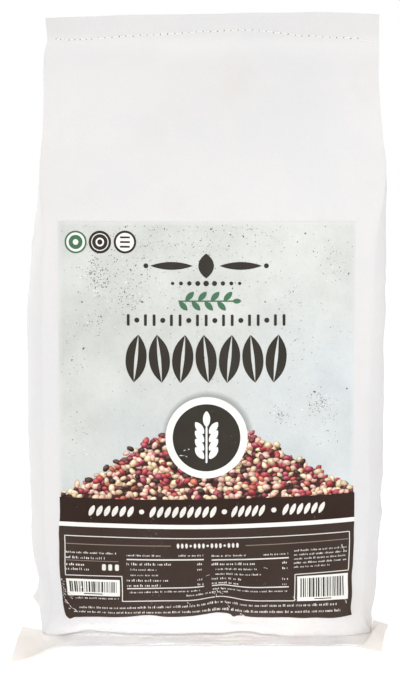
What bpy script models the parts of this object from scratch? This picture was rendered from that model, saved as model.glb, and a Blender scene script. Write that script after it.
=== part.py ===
"""A paper sack of grain, sewn shut across the top and standing upright, with a printed label on its front.

The front faces -Y and the origin is the middle of the flat base. Metres, +Z up.
"""

import math

import bmesh
import bpy
import numpy as np

# Heights of the sack, from the floor
TOP = 0.576
FIN_BASE = 0.541
TUCK_FULL = 0.503
TUCK_START = 0.435
LABEL_TOP = 0.386
BAND_TOP = 0.136
BAND_BOTTOM = 0.112
PANEL_TOP = 0.108
LABEL_BOTTOM = 0.024
TOE = 0.009

# How far each side edge stands out from the middle, as (height, reach)
LEFT_EDGE = (
    (0.000, 0.1490), (TOE, 0.1560), (0.026, 0.1637), (0.046, 0.1597), (0.084, 0.1645), (0.160, 0.1675),
    (0.300, 0.1670), (0.368, 0.1627), (0.423, 0.1557), (0.460, 0.1527), (0.541, 0.1485), (TOP, 0.1480),
)
RIGHT_EDGE = (
    (0.000, 0.1490), (TOE, 0.1555), (0.026, 0.1592), (0.046, 0.1607), (0.084, 0.1625), (0.160, 0.1655),
    (0.300, 0.1672), (0.423, 0.1658), (0.478, 0.1617), (0.515, 0.1580), (0.541, 0.1573), (TOP, 0.1573),
)

# How far the middle of the front and of the back stand out, as (height, depth)
FIN_HALF = 0.0015
FRONT_PROFILE = (
    (0.000, 0.0500), (TOE, 0.0605), (0.026, 0.0600), (0.046, 0.0578), (0.075, 0.0602), (0.140, 0.0635),
    (0.220, 0.0640), (0.300, 0.0615), (0.368, 0.0560), (0.420, 0.0470), (0.470, 0.0325), (0.515, 0.0140),
    (0.541, 0.0035), (0.551, FIN_HALF), (0.556, FIN_HALF), (TOP, FIN_HALF),
)
BACK_PROFILE = (
    (0.000, 0.0490), (TOE, 0.0590), (0.040, 0.0585), (0.140, 0.0610), (0.260, 0.0600), (0.350, 0.0545),
    (0.420, 0.0440), (0.470, 0.0300), (0.515, 0.0125), (0.541, 0.0030), (0.551, FIN_HALF),
    (0.556, FIN_HALF), (TOP, FIN_HALF),
)

# The share of that depth which the corner edges keep, as (height, share)
CORNER_SHARE = (
    (0.000, 0.86), (TOE, 0.80), (0.030, 0.74), (0.080, 0.60), (0.160, 0.55), (0.368, 0.55), (0.470, 0.60),
    (0.541, 0.90), (0.551, 1.00), (TOP, 1.00),
)
BELLY_POWER = 2.2
SIDE_BULGE_SHARE = 0.26
BULGE_HEIGHTS = (-0.010, 0.060, 0.360, 0.445)
TUCK_DEPTH = 0.032
TUCK_POWER = 1.25

# The closure: how far its top edge drops towards each corner, and how it waves
TOP_PEAK_X = 0.095
TOP_DROP_LEFT = 0.0055
TOP_DROP_RIGHT = 0.0028
TOP_DROP_POWER = 1.6
WAVE_START = 0.44
WAVE_DEPTH = 0.0045
WAVE_LENGTH = 0.30
WAVE_PHASE = 0.7

# The mesh: heights of the rings, and how many steps each panel of a ring has
RINGS = (
    0.0, 0.003, TOE, 0.016, LABEL_BOTTOM, 0.034, 0.048, 0.066, 0.086, PANEL_TOP, BAND_BOTTOM, BAND_TOP,
    0.165, 0.195, 0.225, 0.255, 0.285, 0.310, 0.335, 0.360, LABEL_TOP, 0.408, 0.430, 0.446, 0.460, 0.474,
    0.488, 0.502, 0.515, 0.528, FIN_BASE, 0.551, 0.563, TOP,
)
LABEL_HALF_WIDTH = 0.135
LABEL_COLUMNS = 18
CORNER_COLUMNS = 3
SIDE_STEPS = 6

# The flattened bottom end of the sack, folded forwards, whose ears show beside the base.
# Each side's pair holds x at the root and at the free edge.
TAIL_THICKNESS = 0.0026
TAIL_FLOOR_GAP = 0.0002
TAIL_ROOT_Y = -0.038
TAIL_ROOT_Z = 0.0045
TAIL_FRONT_Y = -0.0670
TAIL_LEFT = (-0.1690, -0.1730)
TAIL_RIGHT = (0.1680, 0.1570)
EAR_START = 0.115
EAR_END = 0.170
LEFT_EAR_REACH = 0.042
RIGHT_EAR_REACH = 0.022
EAR_RISE = 0.0065
TAIL_STEPS = (44, 7)

# The label and the sewing thread, and the gap that keeps them clear of the sack
SKIN_GAP = 0.0004
LABEL_THICKNESS = 0.0005
THREAD_RADIUS = 0.00055
STITCH_LENGTH = 0.0063
STITCH_LINE = ((-0.138, 0.5530), (-0.120, 0.5520), (-0.085, 0.5545), (-0.045, 0.5568), (0.000, 0.5597),
               (0.050, 0.5597), (0.085, 0.5553), (0.118, 0.5533), (0.148, 0.5520))
STITCH_FADE = 0.35


def through(points, at):
    """The value at one place of a smooth curve through (place, value) points."""
    places, values = np.array(points).T
    slopes = np.gradient(values, places)
    at = min(max(at, places[0]), places[-1])
    i = min(int(np.searchsorted(places, at, side="right")) - 1, len(places) - 2)
    span = places[i + 1] - places[i]
    t = (at - places[i]) / span
    return (
        values[i] * (1 + 2 * t) * (1 - t) ** 2
        + slopes[i] * span * t * (1 - t) ** 2
        + values[i + 1] * t * t * (3 - 2 * t)
        + slopes[i + 1] * span * t * t * (t - 1)
    )


def ease(start, end, at):
    """0 before start, 1 after end, and a smooth rise between them."""
    t = min(max((at - start) / (end - start), 0.0), 1.0)
    return t * t * (3 - 2 * t)


def tuck(height):
    """How far the middle of each side is folded inwards below the closure."""
    return TUCK_DEPTH * ease(TUCK_START, TUCK_FULL, height) * (1 - ease(TUCK_FULL, FIN_BASE, height))


def side_bulge(height):
    """How far the middle of each side stands out past the corner edges, less near the base and the tuck."""
    grown = ease(*BULGE_HEIGHTS[:2], height) * (1 - ease(*BULGE_HEIGHTS[2:], height))
    return SIDE_BULGE_SHARE * through(FRONT_PROFILE, height) * grown


def corner_x(side, height):
    """Where the corner edge on the left (-1) or the right (1) is."""
    edge = LEFT_EDGE if side < 0 else RIGHT_EDGE
    return side * (through(edge, height) - side_bulge(height))


def depth(profile, x, height):
    """How far a panel stands out at x: a belly in the middle, less at the corner edges."""
    middle = through(profile, height)
    share = through(CORNER_SHARE, height)
    along = min(abs(x / corner_x(math.copysign(1, x), height)), 1.0)
    return middle * (1 - (1 - share) * along**BELLY_POWER)


def wave(x, height):
    """The closure isn't quite flat, so it bows to the front and the back along its length."""
    bow = math.sin(2 * math.pi * x / WAVE_LENGTH + WAVE_PHASE)
    return WAVE_DEPTH * bow * ease(WAVE_START, FIN_BASE, height)


def lifted(x, height):
    """The height after the top edge has dropped towards its corners."""
    drop = TOP_DROP_LEFT if x < TOP_PEAK_X else TOP_DROP_RIGHT
    end = LEFT_EDGE[-1][1] + TOP_PEAK_X if x < TOP_PEAK_X else RIGHT_EDGE[-1][1] - TOP_PEAK_X
    return height - drop * abs((x - TOP_PEAK_X) / end) ** TOP_DROP_POWER * ease(FIN_BASE, TOP, height)


def front_point(x, height, gap=0.0):
    """A point of the sack's front, or in front of it by a gap."""
    return (x, wave(x, height) - depth(FRONT_PROFILE, x, height) - gap, lifted(x, height))


def back_point(x, height):
    return (x, wave(x, height) + depth(BACK_PROFILE, x, height), lifted(x, height))


def side_point(side, share, height):
    """A point of a side panel, from its front corner edge (share -1) to its back one (share 1)."""
    corner = corner_x(side, height)
    front = depth(FRONT_PROFILE, corner, height)
    back = depth(BACK_PROFILE, corner, height)
    out = side_bulge(height) * (1 - share**2) - tuck(height) * (1 - abs(share) ** TUCK_POWER)
    y = wave(corner, height) + back * (1 + share) / 2 - front * (1 - share) / 2
    return (corner + side * out, y, lifted(corner, height))


def columns(height):
    """The x places along the front: even across the label's width, then out to the corner edges."""
    middle = np.linspace(-LABEL_HALF_WIDTH, LABEL_HALF_WIDTH, LABEL_COLUMNS + 1)
    left = np.linspace(corner_x(-1, height), -LABEL_HALF_WIDTH, CORNER_COLUMNS + 1)
    right = np.linspace(LABEL_HALF_WIDTH, corner_x(1, height), CORNER_COLUMNS + 1)
    return [*left[:-1], *middle, *right[1:]]


def ring(height):
    """The sack's outline at one height, all the way round from the front left corner edge."""
    shares = np.linspace(-1, 1, SIDE_STEPS + 1)[1:-1]
    xs = columns(height)
    return (
        [front_point(x, height) for x in xs]
        + [side_point(1, share, height) for share in shares]
        + [back_point(x, height) for x in reversed(xs)]
        + [side_point(-1, share, height) for share in reversed(shares)]
    )


def material(name, color, roughness):
    made = bpy.data.materials.new(name)
    made.use_nodes = True
    shader = made.node_tree.nodes["Principled BSDF"]
    shader.inputs["Base Color"].default_value = (*color, 1.0)
    shader.inputs["Roughness"].default_value = roughness
    shader.inputs["Metallic"].default_value = 0.0
    made.diffuse_color = (*color, 1.0)
    return made


def place(name, mesh, collection, *materials):
    made = bpy.data.objects.new(name, mesh)
    for one in materials:
        mesh.materials.append(one)
    collection.objects.link(made)
    return made


def lofted(name, rows, closed):
    """A mesh of quads between rows of points. Closed rows are rings, and their two ends are capped."""
    work = bmesh.new()
    made = [[work.verts.new(point) for point in row] for row in rows]
    for low, high in zip(made, made[1:]):
        count = len(low)
        for i in range(count if closed else count - 1):
            k = (i + 1) % count
            work.faces.new((low[i], low[k], high[k], high[i]))
    if closed:
        work.faces.new(list(reversed(made[0])))
        work.faces.new(made[-1])
        bmesh.ops.triangulate(work, faces=work.faces[-2:], quad_method="BEAUTY", ngon_method="BEAUTY")
    mesh = bpy.data.meshes.new(name)
    work.to_mesh(mesh)
    work.free()
    mesh.shade_smooth()
    return mesh


def tail_point(across, forward):
    """A point of the flattened bottom end: across goes from ear to ear, forward to the free edge."""
    left, right = (back + (front - back) * forward for back, front in (TAIL_LEFT, TAIL_RIGHT))
    x = left + (right - left) * across
    reach = LEFT_EAR_REACH if x < 0 else RIGHT_EAR_REACH
    out = ease(EAR_START, EAR_END, abs(x))
    y = TAIL_ROOT_Y + (TAIL_FRONT_Y - TAIL_ROOT_Y) * forward - reach * out * forward**1.3
    low = TAIL_THICKNESS / 2 + TAIL_FLOOR_GAP
    z = low + (TAIL_ROOT_Z - low + EAR_RISE * out) * (1 - forward)
    return (x, y, z)


def add_tail(collection, paper):
    """The sack's flattened end as a thin curved slab, to be joined to the sack."""
    rows = [
        [tail_point(across, forward) for across in np.linspace(0, 1, TAIL_STEPS[0] + 1)]
        for forward in np.linspace(1, 0, TAIL_STEPS[1] + 1)
    ]
    tail = place("tail_shape", lofted("tail_shape", rows, closed=False), collection, paper)
    solid = tail.modifiers.new("thickness", "SOLIDIFY")
    solid.thickness = TAIL_THICKNESS
    solid.offset = 0.0
    tail.hide_render = True
    tail.display_type = "WIRE"
    return tail


def add_sack(collection, paper, tail):
    sack = place("sack", lofted("sack", [ring(height) for height in RINGS], closed=True), collection, paper)
    join = sack.modifiers.new("bottom_end", "BOOLEAN")
    join.operation = "UNION"
    join.solver = "EXACT"
    join.object = tail
    return sack


def add_label(collection, pale, dark):
    """The label is a thin sheet that follows the front, on the sack's own grid, so they stay parallel."""
    heights = [height for height in RINGS if LABEL_BOTTOM <= height <= LABEL_TOP]
    xs = np.linspace(-LABEL_HALF_WIDTH, LABEL_HALF_WIDTH, LABEL_COLUMNS + 1)
    rows = [[front_point(x, height, SKIN_GAP) for x in xs] for height in heights]
    label = place("label", lofted("label", rows, closed=False), collection, pale, dark)
    for face in label.data.polygons:
        height = face.center.z
        on_rule = PANEL_TOP < height < BAND_BOTTOM
        face.material_index = int(height < BAND_TOP and not on_rule)
    solid = label.modifiers.new("thickness", "SOLIDIFY")
    solid.thickness = LABEL_THICKNESS
    solid.offset = 1.0
    return label


def add_stitching(name, collection, cotton, side):
    """A row of stitches along the closure's front (-1) or back (1), thin where each dips into the paper."""
    start, end = STITCH_LINE[0][0], STITCH_LINE[-1][0]
    count = round((end - start) / STITCH_LENGTH)
    curve = bpy.data.curves.new(name, "CURVE")
    curve.dimensions = "3D"
    curve.bevel_depth = THREAD_RADIUS
    curve.bevel_resolution = 2
    curve.use_fill_caps = True
    spline = curve.splines.new("POLY")
    spline.points.add(count * 2)
    for i, point in enumerate(spline.points):
        x = start + (end - start) * i / (count * 2)
        height = through(STITCH_LINE, x)
        surface = front_point(x, height) if side < 0 else back_point(x, height)
        stand = SKIN_GAP + THREAD_RADIUS
        point.co = (surface[0], surface[1] + side * stand, surface[2], 1.0)
        point.radius = STITCH_FADE if i % 2 == 0 else 1.0
    made = bpy.data.objects.new(name, curve)
    curve.materials.append(cotton)
    collection.objects.link(made)
    return made


def main():
    for old in list(bpy.data.objects):
        bpy.data.objects.remove(old, do_unlink=True)
    parts = bpy.data.collections.new("sack_of_grain")
    helpers = bpy.data.collections.new("cutters")
    for collection in (parts, helpers):
        bpy.context.scene.collection.children.link(collection)

    paper = material("white_paper", (0.86, 0.86, 0.85), 0.72)
    pale = material("label_pale", (0.76, 0.78, 0.75), 0.5)
    dark = material("label_dark", (0.045, 0.028, 0.021), 0.45)
    cotton = material("thread", (0.84, 0.83, 0.80), 0.9)

    add_sack(parts, paper, add_tail(helpers, paper))
    add_label(parts, pale, dark)
    add_stitching("stitching_front", parts, cotton, -1)
    add_stitching("stitching_back", parts, cotton, 1)


main()
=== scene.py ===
"""The looks of a sewn paper sack of grain: creased white paper, a printed label, thread, and a white studio."""

import math

import bmesh
import bpy
import numpy as np
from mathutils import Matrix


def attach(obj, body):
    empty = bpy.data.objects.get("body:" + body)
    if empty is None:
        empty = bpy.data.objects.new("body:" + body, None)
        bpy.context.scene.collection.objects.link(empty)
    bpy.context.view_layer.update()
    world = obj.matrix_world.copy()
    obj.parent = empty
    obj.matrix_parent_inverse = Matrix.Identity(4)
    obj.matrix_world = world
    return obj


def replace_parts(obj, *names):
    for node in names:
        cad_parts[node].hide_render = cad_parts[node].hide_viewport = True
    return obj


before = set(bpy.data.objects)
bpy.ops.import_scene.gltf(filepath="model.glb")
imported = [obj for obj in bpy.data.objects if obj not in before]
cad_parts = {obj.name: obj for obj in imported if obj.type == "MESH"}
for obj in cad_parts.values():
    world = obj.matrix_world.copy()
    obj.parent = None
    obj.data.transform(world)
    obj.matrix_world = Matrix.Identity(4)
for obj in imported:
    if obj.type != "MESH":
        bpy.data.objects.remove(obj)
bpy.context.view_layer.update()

MM = 0.001

# The sack's driving sizes, as in the solid model
TOP = 0.576
FIN_BASE = 0.541
TUCK_FULL = 0.503
TUCK_START = 0.435
LABEL_TOP = 0.386
BAND_TOP = 0.136
BAND_BOTTOM = 0.112
PANEL_TOP = 0.108
LABEL_BOTTOM = 0.024
TOE = 0.009

LEFT_EDGE = (
    (0.000, 0.1556), (TOE, 0.1554), (0.030, 0.1582), (0.048, 0.1597), (0.064, 0.1628), (0.084, 0.1660), (0.160, 0.1680),
    (0.300, 0.1670), (0.368, 0.1627), (0.405, 0.1575), (0.425, 0.1545), (0.460, 0.1510), (0.500, 0.1500),
    (0.525, 0.1500), (0.538, 0.1488), (0.551, 0.1462), (0.560, 0.1465), (TOP, 0.1478),
)
RIGHT_EDGE = (
    (0.000, 0.1545), (TOE, 0.1558), (0.019, 0.1558), (0.028, 0.1586), (0.046, 0.1607), (0.068, 0.1613), (0.088, 0.1638),
    (0.107, 0.1650), (0.127, 0.1661), (0.145, 0.1670), (0.163, 0.1657), (0.225, 0.1652), (0.300, 0.1672), (0.423, 0.1650), (0.460, 0.1612), (0.490, 0.1590), (0.515, 0.1578), (0.541, 0.1573), (TOP, 0.1573),
)
FIN_HALF = 0.0015
FRONT_PROFILE = (
    (0.000, 0.0500), (TOE, 0.0605), (0.026, 0.0600), (0.046, 0.0578), (0.075, 0.0602), (0.140, 0.0635),
    (0.220, 0.0640), (0.300, 0.0615), (0.368, 0.0560), (0.420, 0.0470), (0.470, 0.0325), (0.515, 0.0140),
    (0.541, 0.0035), (0.551, FIN_HALF), (0.556, FIN_HALF), (TOP, FIN_HALF),
)
BACK_PROFILE = (
    (0.000, 0.0490), (TOE, 0.0590), (0.040, 0.0585), (0.140, 0.0610), (0.260, 0.0600), (0.350, 0.0545),
    (0.420, 0.0440), (0.470, 0.0300), (0.515, 0.0125), (0.541, 0.0030), (0.551, FIN_HALF),
    (0.556, FIN_HALF), (TOP, FIN_HALF),
)
CORNER_SHARE = (
    (0.000, 0.86), (TOE, 0.80), (0.030, 0.74), (0.080, 0.60), (0.160, 0.55), (0.368, 0.55), (0.470, 0.60),
    (0.541, 0.90), (0.551, 1.00), (TOP, 1.00),
)
BELLY_POWER = 2.2
SIDE_BULGE_SHARE = 0.26
BULGE_HEIGHTS = (-0.010, 0.040, 0.360, 0.445)
TUCK_DEPTH = 0.032
TUCK_POWER = 1.25
TOP_PEAK_X = 0.095
TOP_DROP_LEFT = 0.0055
TOP_DROP_RIGHT = 0.0028
TOP_DROP_POWER = 1.6
WAVE_START = 0.44
WAVE_DEPTH = 0.0045
WAVE_LENGTH = 0.30
WAVE_PHASE = 0.7
STITCH_LINE = ((-0.138, 0.5530), (-0.120, 0.5520), (-0.085, 0.5545), (-0.045, 0.5568), (0.000, 0.5597),
               (0.050, 0.5597), (0.085, 0.5553), (0.118, 0.5533), (0.148, 0.5520))


# Curves and random values that everything below uses

def through(points, at):
    """Values at some places of a smooth curve through (place, value) points."""
    places, values = np.array(points).T
    slopes = np.gradient(values, places)
    at = np.clip(at, places[0], places[-1])
    i = np.clip(np.searchsorted(places, at, side="right") - 1, 0, len(places) - 2)
    span = places[i + 1] - places[i]
    t = (at - places[i]) / span
    return (
        values[i] * (1 + 2 * t) * (1 - t) ** 2
        + slopes[i] * span * t * (1 - t) ** 2
        + values[i + 1] * t * t * (3 - 2 * t)
        + slopes[i + 1] * span * t * t * (t - 1)
    )


def ease(start, end, at):
    """0 before start, 1 after end, and a smooth rise between them."""
    t = np.clip((at - start) / (end - start), 0.0, 1.0)
    return t * t * (3 - 2 * t)


def bell(middle, width, at):
    return np.exp(-(((at - middle) / width) ** 2))


def ripple(a, b, size_a, size_b, seed):
    """Smooth random values from about -1 to 1 over a surface, with bumps of the given sizes."""
    lattice = np.random.default_rng(seed).uniform(-1, 1, (64, 64))
    a, b = np.broadcast_arrays(a / size_a, b / size_b)
    i, k = np.floor(a).astype(int), np.floor(b).astype(int)
    s, t = a - i, b - k
    s, t = s * s * (3 - 2 * s), t * t * (3 - 2 * t)
    low = lattice[i % 64, k % 64] * (1 - s) + lattice[(i + 1) % 64, k % 64] * s
    high = lattice[i % 64, (k + 1) % 64] * (1 - s) + lattice[(i + 1) % 64, (k + 1) % 64] * s
    return low * (1 - t) + high * t


def crumple(a, b, size, seed):
    """Random relief from 0 to about 1 with soft faces between sharp valleys, as in handled paper."""
    c, s = math.cos(0.5 + seed), math.sin(0.5 + seed)
    along, across = a * c + b * s, b * c - a * s
    large = np.abs(ripple(along, across, size, size * 1.3, seed))
    return large + 0.4 * np.abs(ripple(along, across, size * 0.45, size * 0.6, seed + 1))


# The sack's form

def tuck(z):
    return TUCK_DEPTH * ease(TUCK_START, TUCK_FULL, z) * (1 - ease(TUCK_FULL, FIN_BASE, z))


def side_bulge(z):
    grown = ease(*BULGE_HEIGHTS[:2], z) * (1 - ease(*BULGE_HEIGHTS[2:], z))
    return SIDE_BULGE_SHARE * through(FRONT_PROFILE, z) * grown


def corner_x(side, z):
    """Where the corner edge on the left (-1) or the right (1) is."""
    reach = np.where(side < 0, through(LEFT_EDGE, z), through(RIGHT_EDGE, z))
    return side * (reach - side_bulge(z))


def depth(profile, x, z):
    """How far the front or the back stands out at x: most in the middle, less at the corner edges."""
    side = np.where(x < 0, -1, 1)
    along = np.minimum(np.abs(x / corner_x(side, z)), 1.0)
    return through(profile, z) * (1 - (1 - through(CORNER_SHARE, z)) * along**BELLY_POWER)


def wave(x, z):
    """The closure bows to the front and the back along its length."""
    bow = np.sin(2 * math.pi * x / WAVE_LENGTH + WAVE_PHASE)
    return WAVE_DEPTH * bow * ease(WAVE_START, FIN_BASE, z)


def lifted(x, z):
    """The height after the top edge has dropped towards its corners, a little unevenly."""
    left = x < TOP_PEAK_X
    drop = np.where(left, TOP_DROP_LEFT, TOP_DROP_RIGHT)
    end = np.where(left, LEFT_EDGE[-1][1] + TOP_PEAK_X, RIGHT_EDGE[-1][1] - TOP_PEAK_X)
    lowered = drop * np.abs((x - TOP_PEAK_X) / end) ** TOP_DROP_POWER
    return z - (lowered + TOP_EDGE_WOBBLE * ripple(x, 0 * x, 0.035, 1, 5)) * ease(FIN_BASE, TOP, z)


# The wrinkles of the paper. A crease is (x, z, x, z, height, width) in mm, on a panel seen from outside.
TOP_EDGE_WOBBLE = 0.0004
HAND_CREASES = (
    (124, 21, 149, 7, 1.9, 4.5), (124, 21, 150, 24, 0.6, 6), (-150, 30, -128, 12, 0.8, 5), (-150, 10, -112, 19, 0.5, 5),
    (150, 534, 118, 478, 0.9, 9), (146, 520, 128, 430, 0.6, 10), (140, 512, 152, 488, -0.9, 6),
    (-142, 532, -118, 486, 0.8, 8), (-140, 520, -128, 452, 0.5, 9), (96, 535, 78, 470, 0.5, 10),
    (-60, 536, -52, 480, 0.35, 12), (20, 538, 27, 492, 0.35, 12), (148, 372, 162, 352, 0.5, 6),
    (-158, 212, -146, 188, 0.5, 6), (4, 20, 12, 74, 1.3, 6), (22, 20, 17, 58, 0.8, 5), (-8, 22, 4, 52, -0.7, 5),
    (12, 50, 44, 66, 0.5, 6), (10, 44, -28, 40, 0.4, 6), (-134, 22, -118, 48, 0.9, 4), (-134, 40, -112, 30, 0.7, 4),
    (-128, 24, -110, 24, -0.6, 4), (-60, 22, -30, 30, 0.4, 5), (60, 24, 96, 30, 0.4, 5), (-132, 48, -126, 74, 0.4, 5),
)


def scattered_creases(seed, count, low, high, length, height, upright):
    """Random straight creases within a rectangle, in mm. Upright ones run within 35 degrees of the vertical."""
    rng = np.random.default_rng(seed)
    made = []
    for _ in range(count):
        x, z = rng.uniform(low, high)
        turn = rng.normal(math.pi / 2, 0.35) if rng.random() < upright else rng.uniform(0, math.pi)
        reach = rng.uniform(*length) / 2
        dx, dz = reach * math.cos(turn), reach * math.sin(turn)
        made.append((x - dx, z - dz, x + dx, z + dz, rng.choice((-1, 1)) * rng.uniform(*height), rng.uniform(4, 9)))
    return made


FRONT_CREASES = [
    *HAND_CREASES,
    *scattered_creases(11, 16, (-150, 395), (150, 530), (25, 70), (0.12, 0.32), 0.7),
    *scattered_creases(12, 10, (-165, 30), (-138, 380), (15, 45), (0.15, 0.4), 0.3),
    *scattered_creases(13, 10, (138, 30), (165, 380), (15, 45), (0.15, 0.4), 0.3),
    *scattered_creases(14, 14, (-130, 30), (130, 120), (15, 40), (0.06, 0.2), 0.4),
    *scattered_creases(15, 8, (-130, 130), (130, 380), (30, 80), (0.05, 0.12), 0.5),
]
BACK_CREASES = [
    *scattered_creases(21, 26, (-150, 380), (150, 530), (30, 90), (0.4, 1.1), 0.75),
    *scattered_creases(22, 34, (-155, 20), (155, 380), (25, 80), (0.2, 0.8), 0.35),
    *scattered_creases(23, 12, (-150, 5), (150, 60), (15, 40), (0.4, 1.0), 0.3),
    (-148, 30, -118, 8, 1.4, 6), (148, 34, 116, 8, 1.5, 6), (-146, 528, -112, 470, 1.4, 9), (146, 526, 116, 474, 1.4, 9),
]
SIDE_CREASES = [
    *scattered_creases(31, 18, (-45, 20), (45, 420), (18, 50), (0.4, 1.2), 0.35),
    *scattered_creases(32, 10, (-35, 400), (35, 520), (18, 50), (0.4, 1.1), 0.8),
    (-46, 40, -12, 6, 0.8, 6), (46, 44, 14, 6, 1.3, 6), (0, 30, -30, 6, 0.6, 6), (0, 34, 30, 8, 0.8, 6),
]
CREASE_ROUNDING = 0.8


def creased(x, z, creases):
    """The relief of a set of creases: each is a soft-edged ridge or groove that fades at its two ends."""
    total = np.zeros(np.broadcast(x, z).shape)
    x, z = x / MM, z / MM
    for x0, z0, x1, z1, height, width in creases:
        dx, dz = x1 - x0, z1 - z0
        along = ((x - x0) * dx + (z - z0) * dz) / (dx * dx + dz * dz)
        held = np.clip(along, 0, 1)
        away = np.hypot(x - x0 - held * dx, z - z0 - held * dz)
        ridge = np.exp(-(np.sqrt(away**2 + CREASE_ROUNDING**2) - CREASE_ROUNDING) / width)
        total += height * ridge * np.sin(math.pi * np.clip(0.08 + 0.84 * along, 0, 1)) ** 0.7
    return total * MM


def on_fin(z):
    """1 below the closure, and little on it, where the plies are pressed flat."""
    return 1 - 0.8 * ease(0.530, 0.550, z)


RUMPLE_X = 0.013
RUMPLE_WIDTH = 0.017
RUMPLE_RISE = 0.0046
RUMPLE_OUT = 0.0016
FOOT_FLARE = 0.0026
FOOT_START = 0.004
FOOT_TOP = (
    (-0.170, 0.010), (-0.150, 0.012), (-0.136, 0.024), (-0.120, 0.027), (0.108, 0.028), (0.122, 0.0255),
    (0.143, 0.0105), (0.170, 0.008),
)


def rumple(x, z):
    """The label's bottom edge is pushed up near its middle. 1 at the heart of that fold, and 0 away from it."""
    return bell(RUMPLE_X, RUMPLE_WIDTH, x) * (1 - ease(0.038, 0.085, z)) * ease(0.012, 0.024, z)


def front_relief(x, z):
    """How far wrinkles lift the front's paper out of its plain form."""
    gathers = ripple(x, z, 0.030, 0.16, 1) * ease(0.40, 0.50, z) * 0.9 * MM
    slack = ripple(x, z, 0.055, 0.075, 2) * 0.7 * MM
    rough = ripple(x, z, 0.012, 0.016, 3) * (0.10 + 0.16 * ease(0.10, 0.02, z)) * MM
    low = ripple(x, z, 0.022, 0.014, 4) * 0.55 * MM * (1 - ease(0.03, 0.09, z))
    folds = crumple(x, z, 0.055, 301) * 0.9 * MM * ease(0.36, 0.44, z)
    waves = (gathers + slack + rough + low + folds + creased(x, z, FRONT_CREASES)) * on_fin(z)
    foot = FOOT_FLARE * np.clip((through(FOOT_TOP, x) - z) / (through(FOOT_TOP, x) - FOOT_START), 0, 1)
    return (waves + foot + RUMPLE_OUT * rumple(x, z)) * ease(-0.002, TOE, z)


SEAM_X = -0.028
SEAM_WIDTH = 0.032
SEAM_STEP = 0.0008


def back_relief(x, z):
    """The back's wrinkles, and the glued overlap that runs up it."""
    gathers = ripple(x, z, 0.028, 0.15, 6) * ease(0.38, 0.50, z) * 1.3 * MM
    slack = ripple(x, z, 0.06, 0.08, 7) * 1.1 * MM
    rough = ripple(x, z, 0.013, 0.017, 8) * 0.16 * MM
    folds = crumple(x, z, 0.070, 311) * 3.6 * MM * (0.55 + 0.45 * ripple(x, z, 0.11, 0.16, 315))
    folds += crumple(x, z, 0.026, 331) * 1.0 * MM * (0.5 + 0.5 * ripple(x, z, 0.08, 0.10, 335))
    overlap = SEAM_STEP * (ease(SEAM_X, SEAM_X + 0.002, x) - ease(SEAM_X + SEAM_WIDTH, SEAM_X + SEAM_WIDTH + 0.012, x))
    waves = gathers + slack + rough + folds + creased(x, z, BACK_CREASES)
    return (waves * on_fin(z) + overlap) * ease(-0.002, TOE, z)


SIDE_FOLD_MEAN = 1.5
KNOB = 0.0104
KNOB_Y = 0.0
KNOB_Z = 0.028
KNOB_WIDTH = 0.009


def side_relief(side, share, y, z):
    """The side panels' wrinkles, and the line down the middle that they were folded flat along."""
    middle_fold = -0.9 * MM * np.exp(-np.abs(y) / 0.004) * (1 - ease(0.42, 0.46, z))
    slack = ripple(y, z, 0.035, 0.06, 40 + side) * 1.0 * MM
    rough = ripple(y, z, 0.012, 0.016, 50 + side) * 0.16 * MM
    folds = crumple(y, z, 0.042, 321 + side) * 3.0 + crumple(y, z, 0.020, 341 + side) * 0.9
    flat = SIDE_FOLD_MEAN * (1 - ease(0.40, 0.44, z))
    knob = np.where(side < 0, KNOB, 0.0) * np.exp(-np.hypot(y - KNOB_Y, z - KNOB_Z) / KNOB_WIDTH)
    waves = middle_fold + slack + rough + (flat - folds) * MM + knob + creased(side * y, z, SIDE_CREASES)
    return waves * (1 - np.abs(share) ** 3) * ease(-0.004, 0.030, z) * (1 - ease(0.50, 0.535, z))


CREASE_LINE = (
    (-0.158, 1.8), (-0.151, 1.0), (-0.147, -2.2), (-0.142, -2.4), (-0.134, -0.7), (-0.126, 1.1), (-0.120, 2.4),
    (-0.114, 3.7), (-0.107, 4.4), (-0.093, 3.9), (-0.071, 2.5), (-0.050, 2.3), (-0.027, 2.6), (-0.008, 3.4),
    (0.015, 3.6), (0.023, 4.4), (0.034, 5.2), (0.040, 4.7), (0.049, 2.4), (0.061, 1.2), (0.072, -0.8),
    (0.094, -0.3), (0.110, -1.3), (0.131, -1.2), (0.1445, 0.2), (0.151, 1.2), (0.158, 1.6),
)
UNDERCUT = (
    (-0.158, 5.5), (-0.120, 5.5), (-0.100, 6.0), (-0.060, 4.8), (-0.025, 6.5), (0.040, 6.5), (0.062, 4.4),
    (0.090, 2.4), (0.120, 1.4), (0.158, 1.4),
)
UNDERCUT_Z = 0.0068
UNDERCUT_WIDTH = 0.0007


def toe_shift(x, z):
    """The fold along the foot of the front isn't level: how far it is from its plain height."""
    return through(CREASE_LINE, x) * MM * ease(0, TOE, z) * (1 - ease(TOE + 0.001, LABEL_BOTTOM, z))


def front_points(x, z, lift=0.0):
    """Points of the front's paper, or of a skin lifted off it."""
    undercut = through(UNDERCUT, x) * MM * bell(UNDERCUT_Z, UNDERCUT_WIDTH, z)
    out = depth(FRONT_PROFILE, x, z) + front_relief(x, z) - undercut + lift
    return np.stack(np.broadcast_arrays(x, wave(x, z) - out, lifted(x, z) + toe_shift(x, z)), axis=-1)


def back_points(x, z):
    out = depth(BACK_PROFILE, x, z) + back_relief(x, z)
    return np.stack(np.broadcast_arrays(x, wave(x, z) + out, lifted(x, z)), axis=-1)


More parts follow.
